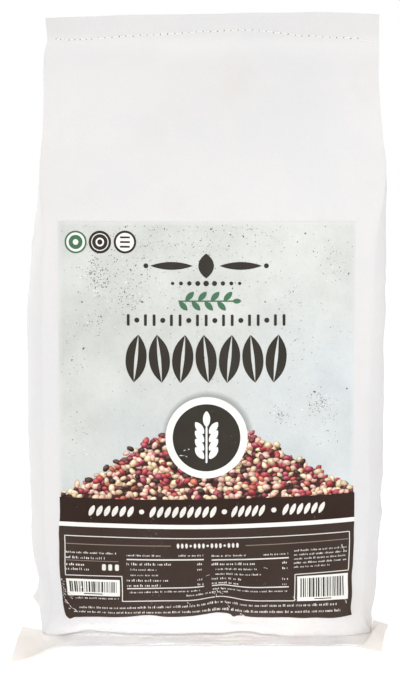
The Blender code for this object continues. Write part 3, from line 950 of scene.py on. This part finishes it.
# Lines along the label's folds for light slivers: partly cracked ink, partly painted highlight
SCUFF_AND_SHEEN_LINES = (
    ((-134.6, 52.5), (-132.6, 49.6), (-130.6, 48.4)), ((-134.4, 48.0), (-131.5, 46.4), (-127.5, 45.8)),
    ((-134.6, 44.5), (-133.4, 40.5), (-132.2, 37.0)), ((-133.6, 41.5), (-130.0, 35.6), (-126.0, 31.6), (-120.4, 26.4)),
    ((-131.8, 38.6), (-128.8, 35.2)), ((-129.0, 44.6), (-126.0, 43.2), (-124.0, 43.6)), ((-130.6, 33.6), (-129.0, 30.4)),
    ((4.6, 42.6), (7.4, 41.2), (10.0, 38.6), (12.0, 38.2)), ((8.0, 45.6), (10.4, 43.0), (15.0, 40.4)),
    ((11.6, 48.4), (15.4, 44.2)), ((-18.6, 37.4), (-16.0, 35.6), (-15.2, 33.0)), ((15.0, 34.2), (18.6, 32.0), (20.6, 28.8)),
    ((30.0, 27.2), (34.5, 26.2)), ((78.4, 41.6), (80.4, 39.6), (81.0, 36.6)), ((122.0, 88.4), (124.6, 85.4), (125.8, 81.6)),
    ((-27.5, 46.4), (-24.2, 48.6)), ((-6.4, 58.6), (-2.4, 62.4), (3.4, 64.6)), ((-22.0, 180.6), (-18.0, 181.6), (-14.0, 183.0)),
    ((-28.0, 177.0), (-20.0, 176.4), (-16.5, 174.0)), ((127.4, 37.4), (130.4, 33.4)), ((52.0, 71.0), (56.4, 69.6)),
    ((-134.9, 60.0), (-133.0, 57.0), (-131.4, 57.4)), ((-134.9, 56.5), (-132.0, 53.6)), ((-134.6, 46.8), (-131.0, 42.6)),
    ((-134.8, 51.0), (-130.6, 47.0), (-128.0, 47.4)), ((-133.8, 38.8), (-131.6, 36.4), (-129.4, 37.2)),
    ((-130.4, 47.6), (-126.0, 45.0)), ((-128.8, 42.4), (-124.6, 40.8)), ((-127.4, 33.0), (-122.0, 28.8)),
)
SCUFF_AND_SHEEN_WIDTH = 0.46


def print_scuffs_and_sheen(material):
    """Light slivers that follow the label's folds: partly creases where its ink has cracked off, partly painted
    highlights where light catches the folds.
    """
    rng = np.random.default_rng(59)
    ink = Print()
    for line in SCUFF_AND_SHEEN_LINES:
        for (u0, v0), (u1, v1) in zip(line, line[1:]):
            for _ in range(3):
                t0 = rng.uniform(-0.05, 0.55)
                t1 = t0 + rng.uniform(0.25, 0.5)
                shift = rng.normal(0, 0.22, 2)
                start = np.array([u0 + (u1 - u0) * t0, v0 + (v1 - v0) * t0]) + shift
                end = np.array([u0 + (u1 - u0) * t1, v0 + (v1 - v0) * t1]) + shift
                width = SCUFF_AND_SHEEN_WIDTH * rng.uniform(0.5, 1.4)
                middle = (start + end) / 2
                length = math.hypot(*(end - start))
                turn = math.atan2(end[1] - start[1], end[0] - start[0]) - math.pi / 2
                # Each sliver is light ink: partly cracked-off print, partly a painted highlight on the fold
                ink.blob(middle, oval(width, length, 10, point=0.4, turn=turn), 1, 0.36)
    return ink.piece("printed_scuffs_and_sheen", [material])


STRIPE_FIELDS = ((-130.2, -80.2, 44.0, 59.8, 2.6), (82.4, 130.6, 37.0, 60.6, 3.0))


def print_stripes(dark, pale):
    """Two pale fields of made-up upright stripes, whose widths follow a seeded rule."""
    rng = np.random.default_rng(53)
    field, stripe = Print(), Print()
    for left, right, low, high, margin in STRIPE_FIELDS:
        field.bar((left, (low + high) / 2), (right, (low + high) / 2), high - low, 0.0)
        u = left + margin
        while u < right - margin - 0.6:
            width = rng.choice((0.45, 0.7, 1.15, 1.6))
            stripe.bar((u + width / 2, low + 3.4), (u + width / 2, high - 2.2), width, 0.03)
            u += width + rng.choice((0.5, 0.8, 1.2))
        stripe.bar((left + 16, low + 1.8), (right - 16, low + 1.8), 0.9, 0.03)
    field.piece("printed_stripe_fields", [pale])
    stripe.piece("printed_stripes", [dark])


SPECK_SPOTS = (
    (-100, 342, 5, 120), (-97, 330, 9, 110), (-84, 352, 26, 240), (-40, 374, 20, 190), (8, 376, 18, 170),
    (34, 380, 14, 100), (-70, 318, 9, 120), (-104, 296, 8, 64), (-122, 262, 10, 30), (118, 344, 8, 46),
    (70, 322, 12, 30), (104, 222, 6, 130), (100, 210, 12, 60), (68, 212, 4, 50), (86, 262, 14, 24),
    (-120, 196, 10, 40), (96, 300, 20, 24), (-10, 350, 44, 80), (-40, 305, 60, 50), (0, 262, 110, 60),
    (60, 230, 60, 35), (-80, 230, 40, 34), (112, 362, 14, 50), (48, 352, 22, 60), (-28, 322, 12, 50),
)


def print_specks(dark, pale):
    """Small chips and specks scattered over the label's pale ground, thicker in some spots."""
    rng = np.random.default_rng(67)
    inks = (Print(), Print())
    for u, v, spread, count in SPECK_SPOTS:
        for _ in range(count):
            place = rng.normal((u, v), spread)
            size = rng.uniform(0.28, 0.90) * (2.0 if rng.random() < 0.06 else 1.0)
            outline = oval(size * rng.uniform(0.8, 1.8), size, 7, turn=rng.uniform(0, 3)) * rng.uniform(0.7, 1.2, (7, 1))
            on_heap = place[1] < through(HEAP_SLOPE, place[0]) + 3
            off = not (-133 < place[0] < 132 and place[1] < 383.5) or on_heap
            near_badge = math.hypot(place[0] - BADGE[0], place[1] - BADGE[1]) < BADGE_OUTER + 1
            ink = inks[0] if rng.random() < 0.78 else inks[1]
            if not off and not near_badge:
                ink.blob(place, outline, 1, -0.04)
    inks[0].piece("printed_specks_dark", [dark])
    inks[1].piece("printed_specks_pale", [pale])


# The sewing: a row of straight stitches on the front, with the painted shadow of a needle hole at each end, and loops
# on the back
THREAD_RADIUS = 0.00042
STITCH_PITCH = 0.0064
STARTING_STITCHES = (0.0041, 0.0040, 0.0038, 0.0047, 0.0054, 0.0055, 0.0050)
THREAD_SIDES = 8


def tube(path, radius, sides, twist=0.0):
    """Points and faces of a closed tube round a path. Twist in radians for each step makes the strands wind."""
    path = np.asarray(path)
    ahead = np.gradient(path, axis=0)
    ahead /= np.linalg.norm(ahead, axis=1, keepdims=True)
    up = np.array([0.05, 0.2, 0.98])
    side = np.cross(ahead, up)
    side /= np.linalg.norm(side, axis=1, keepdims=True)
    over = np.cross(side, ahead)
    turn = np.linspace(0, 2 * math.pi, sides, endpoint=False)[None, :]
    wound = turn + twist * np.arange(len(path))[:, None]
    fat = radius * (0.82 + 0.22 * np.abs(np.cos(turn)))
    fat = fat * np.sqrt(np.clip(np.minimum(np.arange(len(path)), np.arange(len(path))[::-1]) / 1.5, 0.15, 1))[:, None]
    points = path[:, None] + fat[..., None] * (np.cos(wound)[..., None] * side[:, None] + np.sin(wound)[..., None] * over[:, None])
    faces = grid_faces(len(path), sides, around=True)
    last = (len(path) - 1) * sides
    faces.append(list(range(sides))[::-1])
    faces.append([last + i for i in range(sides)])
    return points.reshape(-1, 3), faces


def join(shapes):
    """One set of points and faces from several."""
    points, faces, first = [], [], 0
    for some_points, some_faces in shapes:
        points.append(some_points)
        faces += [[first + i for i in face] for face in some_faces]
        first += len(some_points)
    return np.concatenate(points), faces


def stitch_places():
    """Where the needle went through: short steps at the row's start, and uneven ones after it."""
    start, end = STITCH_LINE[0][0], STITCH_LINE[-1][0] - 0.006
    rng = np.random.default_rng(83)
    steps = np.append(STARTING_STITCHES, STITCH_PITCH + rng.normal(0, 0.00032, 60))
    xs = start + np.append(0, np.cumsum(steps))
    xs = xs[xs < end]
    return xs, through(STITCH_LINE, xs) + rng.normal(0, 0.0002, len(xs))


def make_thread(cotton):
    """The front's stitches dip into the paper between holes. The back's are a chain of loops."""
    xs, zs = stitch_places()
    rng = np.random.default_rng(89)
    front, back = [], []
    for x0, z0, x1, z1 in zip(xs, zs, xs[1:], zs[1:]):
        t = np.linspace(0.06, 0.94, 13)
        sag = rng.normal(0, 0.00018)
        x = x0 + (x1 - x0) * t
        z = z0 + (z1 - z0) * t + sag * np.sin(math.pi * t)
        stand = -0.00045 + 0.00078 * np.sin(math.pi * t) ** 0.45
        front.append(tube(front_points(x, z, stand), THREAD_RADIUS * rng.uniform(0.92, 1.1), THREAD_SIDES, 0.55))
        for lean in (-1, 1):
            t = np.linspace(-0.12, 1.04, 15)
            x = x0 + (x1 - x0) * t
            spread = 0.00062 * np.sin(math.pi * np.clip(t, 0, 1)) ** 0.8
            z = z0 + (z1 - z0) * t + lean * spread
            stand = 0.00055 + 0.0003 * np.cos(2 * math.pi * t) + 0.0001 * lean
            path = back_points(x, z) + np.stack([0 * x, stand, 0 * x], axis=-1)
            back.append(tube(path, THREAD_RADIUS * 0.8, THREAD_SIDES, 0.55))
    tail_x = np.linspace(xs[-1] + 0.001, RIGHT_EDGE[-1][1] - 0.0015, 16)
    tail_z = zs[-1] - 0.0012 - 0.0022 * np.linspace(0, 1, 16) ** 0.6
    front.append(tube(front_points(tail_x, tail_z, 0.0004), THREAD_RADIUS * 0.7, THREAD_SIDES, 0.55))
    for name, shapes, node in (("thread_front", front, "stitching_front"), ("thread_back", back, "stitching_back")):
        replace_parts(mesh_piece(name, *join(shapes), [cotton], "thread"), node)


def make_needle_hole_shadows(dark):
    """Small dark discs at the ends of the front's stitches: painted shadow that stands in for the needle holes."""
    xs, zs = stitch_places()
    rng = np.random.default_rng(97)
    shapes = []
    for x, z in zip(xs, zs):
        size = rng.uniform(0.65, 1.15)
        outline = oval(size, size * rng.uniform(1.0, 1.5), 12, turn=rng.normal(0, 0.3)) * MM
        ring = front_points(x + outline[:, 0], z + outline[:, 1] - 0.0002, 0.00006)
        middle = front_points(np.array([x]), np.array([z - 0.0002]), 0.00006)
        shapes.append((np.concatenate([middle, ring]), [[0, 1 + (k + 1) % 12, 1 + k] for k in range(12)]))
    # Painted shadow: flat dark discs in place of the shade inside the needle holes
    holes = mesh_piece("needle_hole_shadow", *join(shapes), [dark], "sack_paper")
    facing_front(holes.data)


# Materials

def new_material(name):
    made = bpy.data.materials.new(name)
    made.use_nodes = True
    tree = made.node_tree
    return made, tree, tree.nodes["Principled BSDF"]


def node(tree, kind, **values):
    """A shader node with some of its inputs or settings given by name. A socket given as a value is linked."""
    made = tree.nodes.new(kind)
    for name, value in values.items():
        label = name.replace("_", " ")
        socket = made.inputs.get(label) or made.inputs.get(label.title())
        if socket is None:
            setattr(made, name, value)
        elif isinstance(value, bpy.types.NodeSocket):
            tree.links.new(value, socket)
        else:
            socket.default_value = value
    return made


def place_on_object(tree, scale=(1, 1, 1)):
    at = node(tree, "ShaderNodeTexCoord").outputs["Object"]
    return node(tree, "ShaderNodeMapping", Vector=at, Scale=scale).outputs["Vector"]


def noise(tree, scale, detail=3.0, rough=0.55, stretch=(1, 1, 1)):
    made = node(tree, "ShaderNodeTexNoise", Vector=place_on_object(tree, stretch), Scale=scale, Detail=detail)
    made.inputs["Roughness"].default_value = rough
    return made.outputs["Fac"]


def ramp(tree, fac, *stops_at):
    """A colour ramp: each stop is (place, colour), where a colour can be one number for a grey."""
    made = node(tree, "ShaderNodeValToRGB", Fac=fac)
    points = made.color_ramp.elements
    while len(points) < len(stops_at):
        points.new(0.5)
    for point, (place, color) in zip(points, stops_at):
        point.position = place
        color = (color,) * 3 if isinstance(color, (int, float)) else color
        point.color = (*color, 1.0)
    return made.outputs["Color"]


def mix(tree, fac, one, two, kind="MIX"):
    made = tree.nodes.new("ShaderNodeMix")
    made.data_type = "RGBA"
    made.blend_type = kind
    for name, value in (("Factor", fac), ("A", one), ("B", two)):
        index = 0 if name == "Factor" else {"A": 6, "B": 7}[name]
        if isinstance(value, bpy.types.NodeSocket):
            tree.links.new(value, made.inputs[index])
        elif index == 0:
            made.inputs[0].default_value = value
        else:
            made.inputs[index].default_value = (*value, 1.0)
    return made.outputs[2]


def math_node(tree, kind, one, two=0.0):
    made = node(tree, "ShaderNodeMath", operation=kind)
    for i, value in enumerate((one, two)):
        if isinstance(value, bpy.types.NodeSocket):
            tree.links.new(value, made.inputs[i])
        else:
            made.inputs[i].default_value = value
    return made.outputs[0]


def bump(tree, shader, *layers):
    """Fine relief under the shading: each layer is (height, strength, distance in metres)."""
    normal = None
    for height, strength, distance in layers:
        made = node(tree, "ShaderNodeBump", Height=height, Strength=strength, Distance=distance)
        if normal is not None:
            tree.links.new(normal, made.inputs["Normal"])
        normal = made.outputs["Normal"]
    tree.links.new(normal, shader.inputs["Normal"])


PAPER_COOL = linear(216, 215.4, 216)
PAPER_WARM = linear(220, 217.4, 216.4)
# Painted light: brighter, warmer tones for the ears, standing in for the light that falls on them
EAR_PAINTED_LIGHT_DULL = linear(243, 237, 230)
EAR_PAINTED_LIGHT_BRIGHT = linear(250, 244, 238)
# Painted shade: the factor that darkens the closure's paper
CLOSURE_PAINTED_SHADE = 0.915


def white_paper(name, ears=False):
    """Smooth white sack paper: faint cloudiness, fibres, and a light soiling. The closure is painted a shade greyer, as
    painted shade, and the ears a brighter, warmer tone, as painted light.
    """
    made, tree, shader = new_material(name)
    cloud = ramp(tree, noise(tree, 9, 3), (0.35, PAPER_COOL), (0.65, PAPER_WARM))
    fibre = ramp(tree, noise(tree, 900, 2, 0.6, (1, 1, 0.35)), (0.3, 0.965), (0.7, 1.0))
    soil = ramp(tree, noise(tree, 17, 3, 0.5), (0.55, 1.0), (0.85, linear(250, 248, 246)))
    color = mix(tree, 1.0, mix(tree, 1.0, cloud, fibre, "MULTIPLY"), soil, "MULTIPLY")
    parts = node(tree, "ShaderNodeSeparateXYZ", Vector=place_on_object(tree))
    if not ears:
        # Painted shade: the paper above the fin's base is darkened
        closure = ramp(tree, parts.outputs["Z"], (FIN_BASE + 0.006, 1.0), (FIN_BASE + 0.015, CLOSURE_PAINTED_SHADE))
        color = mix(tree, 1.0, color, closure, "MULTIPLY")
    else:
        # Painted light: towards both ends of the bottom end, the paper turns to the ears' brighter, warmer tones
        far = math_node(tree, "ABSOLUTE", math_node(tree, "ADD", parts.outputs["X"], 0.0))
        painted_ear_light = ramp(tree, math_node(tree, "MULTIPLY", far, 4.0), (0.46, 0.0), (0.62, 1.0))
        color = mix(tree, painted_ear_light, color, ramp(tree, noise(tree, 30, 3), (0.35, EAR_PAINTED_LIGHT_DULL), (0.65, EAR_PAINTED_LIGHT_BRIGHT)))
    tree.links.new(color, shader.inputs["Base Color"])
    tree.links.new(ramp(tree, noise(tree, 60, 3), (0.3, 0.56), (0.7, 0.70)), shader.inputs["Roughness"])
    shader.inputs["Specular IOR Level"].default_value = 0.35
    bump(tree, shader, (noise(tree, 110, 3), 0.25, 0.0006), (noise(tree, 1500, 2), 0.25, 0.0001))
    return made


def label_paper():
    """The label's printed pale ground: a mottled plaster grey-green that turns bluish towards the lower right, painted
    darker towards the left as painted shade.
    """
    made, tree, shader = new_material("label_ground")
    at = node(tree, "ShaderNodeTexCoord").outputs["Object"]
    parts = node(tree, "ShaderNodeSeparateXYZ", Vector=at)
    warm = ramp(tree, noise(tree, 16, 5, 0.62), (0.34, linear(198, 200, 196)), (0.66, linear(216, 218, 213)))
    cool = ramp(tree, noise(tree, 22, 5, 0.6), (0.34, linear(196, 203, 206)), (0.66, linear(211, 217, 220)))
    lean = math_node(tree, "ADD", math_node(tree, "MULTIPLY", parts.outputs["X"], 1.6), 0.42)
    fall = math_node(tree, "MULTIPLY", math_node(tree, "SUBTRACT", 0.30, parts.outputs["Z"]), 2.4)
    drift = math_node(tree, "MULTIPLY", noise(tree, 9, 3), 0.9)
    blue = ramp(tree, math_node(tree, "ADD", math_node(tree, "ADD", lean, fall), math_node(tree, "SUBTRACT", drift, 0.45)),
                (0.45, 0.0), (0.95, 1.0))
    ground = mix(tree, blue, warm, cool)
    # Painted shade: the ground is darkened towards the label's left, where less light falls
    painted_shade_towards_left = ramp(tree, math_node(tree, "ADD", parts.outputs["X"], 0.5), (0.37, 0.915), (0.52, 0.93), (0.61, 1.0))
    ground = mix(tree, 1.0, ground, painted_shade_towards_left, "MULTIPLY")
    grain = ramp(tree, noise(tree, 420, 4, 0.7), (0.30, 0.93), (0.52, 1.0), (0.75, 1.0))
    ground = mix(tree, 1.0, ground, grain, "MULTIPLY")
    spread = ramp(tree, noise(tree, 28, 4, 0.6), (0.50, 0.0), (0.66, 1.0))
    chips = ramp(tree, noise(tree, 260, 5, 0.75), (0.33, 1.0), (0.37, 0.0))
    ground = mix(tree, math_node(tree, "MULTIPLY", chips, math_node(tree, "MULTIPLY", spread, 0.55)), ground, linear(150, 152, 146))
    away = node(tree, "ShaderNodeVectorMath", operation="DISTANCE")
    flat = node(tree, "ShaderNodeCombineXYZ", X=parts.outputs["X"], Z=parts.outputs["Z"])
    tree.links.new(flat.outputs[0], away.inputs[0])
    away.inputs[1].default_value = ((BADGE[0] + 1.2) * MM, 0, (BADGE[1] + 1.4) * MM)
    halo = ramp(tree, math_node(tree, "MULTIPLY", away.outputs["Value"], 10.0), (0.374, 0.58), (0.418, 1.0))
    ground = mix(tree, 1.0, ground, halo, "MULTIPLY")
    beside = math_node(tree, "ABSOLUTE", math_node(tree, "ADD", parts.outputs["X"], 0.0005))
    inward = math_node(tree, "MINIMUM", math_node(tree, "SUBTRACT", 0.135, beside),
                       math_node(tree, "SUBTRACT", LABEL_TOP, parts.outputs["Z"]))
    fade = ramp(tree, math_node(tree, "MULTIPLY", inward, 100.0), (0.0, 0.62), (0.42, 0.0))
    ground = mix(tree, fade, ground, PAPER_COOL)
    tree.links.new(ground, shader.inputs["Base Color"])
    tree.links.new(ramp(tree, noise(tree, 45, 3), (0.3, 0.42), (0.7, 0.55)), shader.inputs["Roughness"])
    shader.inputs["Specular IOR Level"].default_value = 0.4
    bump(tree, shader, (noise(tree, 85, 3), 0.3, 0.0004), (noise(tree, 1100, 2), 0.2, 0.00008))
    return made


def ink(name, color, worn, wear=0.0, rough=(0.46, 0.60), gloss=0.12):
    """Printed ink: an uneven coat, with small worn flecks where wear is above 0."""
    made, tree, shader = new_material(name)
    pale = tuple(min(c * 1.16 + 0.004, 1.0) for c in color)
    coat = ramp(tree, noise(tree, 26, 4), (0.3, color), (0.7, pale))
    speck = ramp(tree, noise(tree, 620, 4, 0.7), (0.3, 0.9), (0.6, 1.0))
    coat = mix(tree, 1.0, coat, speck, "MULTIPLY")
    if wear:
        zones = ramp(tree, noise(tree, 34, 3), (0.56, 0.0), (0.72, 1.0))
        flecks = ramp(tree, noise(tree, 340, 5, 0.8), (0.60, 0.0), (0.66, 1.0))
        lost = math_node(tree, "MULTIPLY", math_node(tree, "MULTIPLY", zones, flecks), wear)
        coat = mix(tree, lost, coat, worn)
    tree.links.new(coat, shader.inputs["Base Color"])
    tree.links.new(ramp(tree, noise(tree, 60, 3), (0.3, rough[0]), (0.7, rough[1])), shader.inputs["Roughness"])
    shader.inputs["Specular IOR Level"].default_value = gloss
    bump(tree, shader, (noise(tree, 85, 3), 0.3, 0.0004), (noise(tree, 1100, 2), 0.2, 0.00008))
    return made


def grain_ink():
    """The pictured grains' ink takes its colours from the shapes' own tones."""
    made, tree, shader = new_material("grain_print")
    tone = node(tree, "ShaderNodeVertexColor", layer_name="tone").outputs["Color"]
    mottle = ramp(tree, noise(tree, 900, 3, 0.7), (0.3, 0.82), (0.6, 1.0))
    tree.links.new(mix(tree, 1.0, tone, mottle, "MULTIPLY"), shader.inputs["Base Color"])
    tree.links.new(ramp(tree, noise(tree, 60, 3), (0.3, 0.46), (0.7, 0.58)), shader.inputs["Roughness"])
    shader.inputs["Specular IOR Level"].default_value = 0.15
    return made


def cotton_thread():
    """Bleached sewing thread, with fine strands along it."""
    made, tree, shader = new_material("cotton_thread")
    strands = ramp(tree, noise(tree, 1600, 2, 0.6, (0.5, 1, 2)), (0.3, linear(222, 220, 215)), (0.7, linear(252, 251, 248)))
    tree.links.new(strands, shader.inputs["Base Color"])
    tree.links.new(ramp(tree, noise(tree, 300, 2), (0.3, 0.75), (0.7, 0.92)), shader.inputs["Roughness"])
    shader.inputs["Sheen Weight"].default_value = 0.3
    shader.inputs["Sheen Roughness"].default_value = 0.5
    bump(tree, shader, (noise(tree, 2600, 2, 0.6, (0.4, 1, 1.6)), 0.6, 0.0002))
    return made


def floor_white():
    made, tree, shader = new_material("studio_floor")
    tone = ramp(tree, noise(tree, 2, 2), (0.3, 0.77), (0.7, 0.79))
    tree.links.new(tone, shader.inputs["Base Color"])
    shader.inputs["Roughness"].default_value = 0.85
    shader.inputs["Specular IOR Level"].default_value = 0.1
    shader.inputs["Emission Color"].default_value = (1.0, 1.0, 1.0, 1.0)
    away = node(tree, "ShaderNodeVectorMath", Vector=place_on_object(tree), operation="LENGTH").outputs["Value"]
    glow = ramp(tree, math_node(tree, "MULTIPLY", away, 0.3), (0.15, FLOOR_GLOW), (0.9, FAR_FLOOR_GLOW))
    tree.links.new(glow, shader.inputs["Emission Strength"])
    return made


# The studio: a white floor and surroundings, soft lights, and the photo's camera
CAMERA_AT = (-0.0065, -1.5, 0.4346)
CAMERA_TILT = math.radians(6)
FOCAL_PIXELS = 1613.0
FRAME_HEIGHT_PIXELS = 674
SENSOR = 36.0
FLOOR_HALF = 30.0
FLOOR_GLOW = 0.40
FAR_FLOOR_GLOW = 0.56


def make_studio():
    scene = bpy.context.scene
    mesh = bpy.data.meshes.new("studio_floor")
    corners = [(-FLOOR_HALF, -FLOOR_HALF, 0), (FLOOR_HALF, -FLOOR_HALF, 0), (FLOOR_HALF, FLOOR_HALF, 0), (-FLOOR_HALF, FLOOR_HALF, 0)]
    mesh.from_pydata([(x, y, -0.00005) for x, y, _ in corners], [], [(0, 1, 2, 3)])
    mesh.materials.append(floor_white())
    floor = bpy.data.objects.new("studio_floor", mesh)
    scene.collection.objects.link(floor)

    world = bpy.data.worlds.new("studio")
    world.use_nodes = True
    tree = world.node_tree
    direction = node(tree, "ShaderNodeTexCoord").outputs["Generated"]
    height = node(tree, "ShaderNodeSeparateXYZ", Vector=direction).outputs["Z"]
    rise = ramp(tree, height, (0.16, 1.0), (0.50, CEILING_GLOW))
    tree.links.new(rise, tree.nodes["Background"].inputs["Color"])
    scene.world = world

    for name, place, aim, size, spread, power in LIGHTS:
        data = bpy.data.lights.new(name, "AREA")
        data.shape = "RECTANGLE"
        data.size, data.size_y = size
        data.spread = math.radians(spread)
        data.energy = power
        light = bpy.data.objects.new(name, data)
        light.location = place
        direction = np.array(aim) - np.array(place)
        flat = math.hypot(direction[0], direction[1])
        light.rotation_euler = (math.atan2(flat, -direction[2]), 0, math.atan2(-direction[0], direction[1]))
        scene.collection.objects.link(light)

    camera = bpy.data.cameras.new("camera")
    camera.sensor_width = SENSOR
    camera.sensor_fit = "AUTO"
    camera.lens = FOCAL_PIXELS / FRAME_HEIGHT_PIXELS * SENSOR
    camera.clip_start, camera.clip_end = 0.05, 60
    viewer = bpy.data.objects.new("camera", camera)
    viewer.location = CAMERA_AT
    viewer.rotation_euler = (math.pi / 2 - CAMERA_TILT, 0, 0)
    scene.collection.objects.link(viewer)
    scene.camera = viewer
    scene.view_settings.view_transform = "Standard"


CEILING_GLOW = 0.50
LIGHTS = (
    ("key", (0.5, -2.7, 1.2), (0, 0, 0.25), (1.3, 0.9), 180, 25.8),
    ("left_fill", (-1.9, -0.9, 0.25), (-0.1, 0, 0.15), (0.5, 0.5), 180, 2.8),
    ("right_fill", (1.9, -0.9, 0.2), (0.1, 0, 0.15), (0.5, 0.5), 180, 2.8),
    ("top", (0.0, -0.1, 2.6), (0, 0, 0), (1.6, 1.2), 180, 9.0),
    ("back_key", (-1.9, 1.6, 1.6), (0, 0, 0.25), (0.9, 0.6), 180, 32.0),
    ("foot_fill", (0.0, -1.6, 0.14), (0, -0.06, 0.0), (0.25, 0.02), 3.4, 0.031),
)


def main():
    paper = white_paper("sack_paper_white")
    ground = label_paper()
    dark = ink("ink_dark", linear(45, 29, 22), linear(190, 182, 175), 0.5)
    title_dark = ink("ink_title", linear(50, 45, 39), linear(190, 190, 185), 0.25)
    cream = ink("ink_cream", linear(222, 218, 212), linear(150, 140, 130), 0.3)
    white = ink("ink_white", linear(232, 230, 225), linear(190, 185, 178), 0.2)
    green = ink("ink_green", linear(70, 110, 83), linear(180, 200, 182), 0.25)
    soot = ink("ink_speck", linear(96, 96, 91), linear(160, 160, 155))
    chalk = ink("ink_chalk", linear(224, 226, 222), linear(218, 218, 213))
    make_sack_body(paper)
    make_bottom_end(white_paper("bottom_end_paper", ears=True))
    make_label(ground, dark, white, ink("ink_panel", linear(58, 45, 39), linear(190, 182, 175), 0.4))
    print_specks(soot, chalk)
    print_grain(grain_ink())
    print_title(title_dark)
    print_ornament(title_dark)
    print_leaves(green)
    print_small_row(title_dark)
    print_discs(title_dark, white, green)
    print_badge(title_dark, white)
    print_band(cream)
    print_panel(cream, ink("ink_dim", linear(138, 124, 114), linear(90, 78, 70), 0.3))
    print_scuffs_and_sheen(ink("ink_cracked_and_sheen", linear(212, 206, 200), linear(150, 140, 132), 0.4))
    print_stripes(title_dark, white)
    make_thread(cotton_thread())
    make_needle_hole_shadows(ink("hole_shadow", linear(74, 70, 72), linear(74, 70, 72)))
    make_studio()


main()
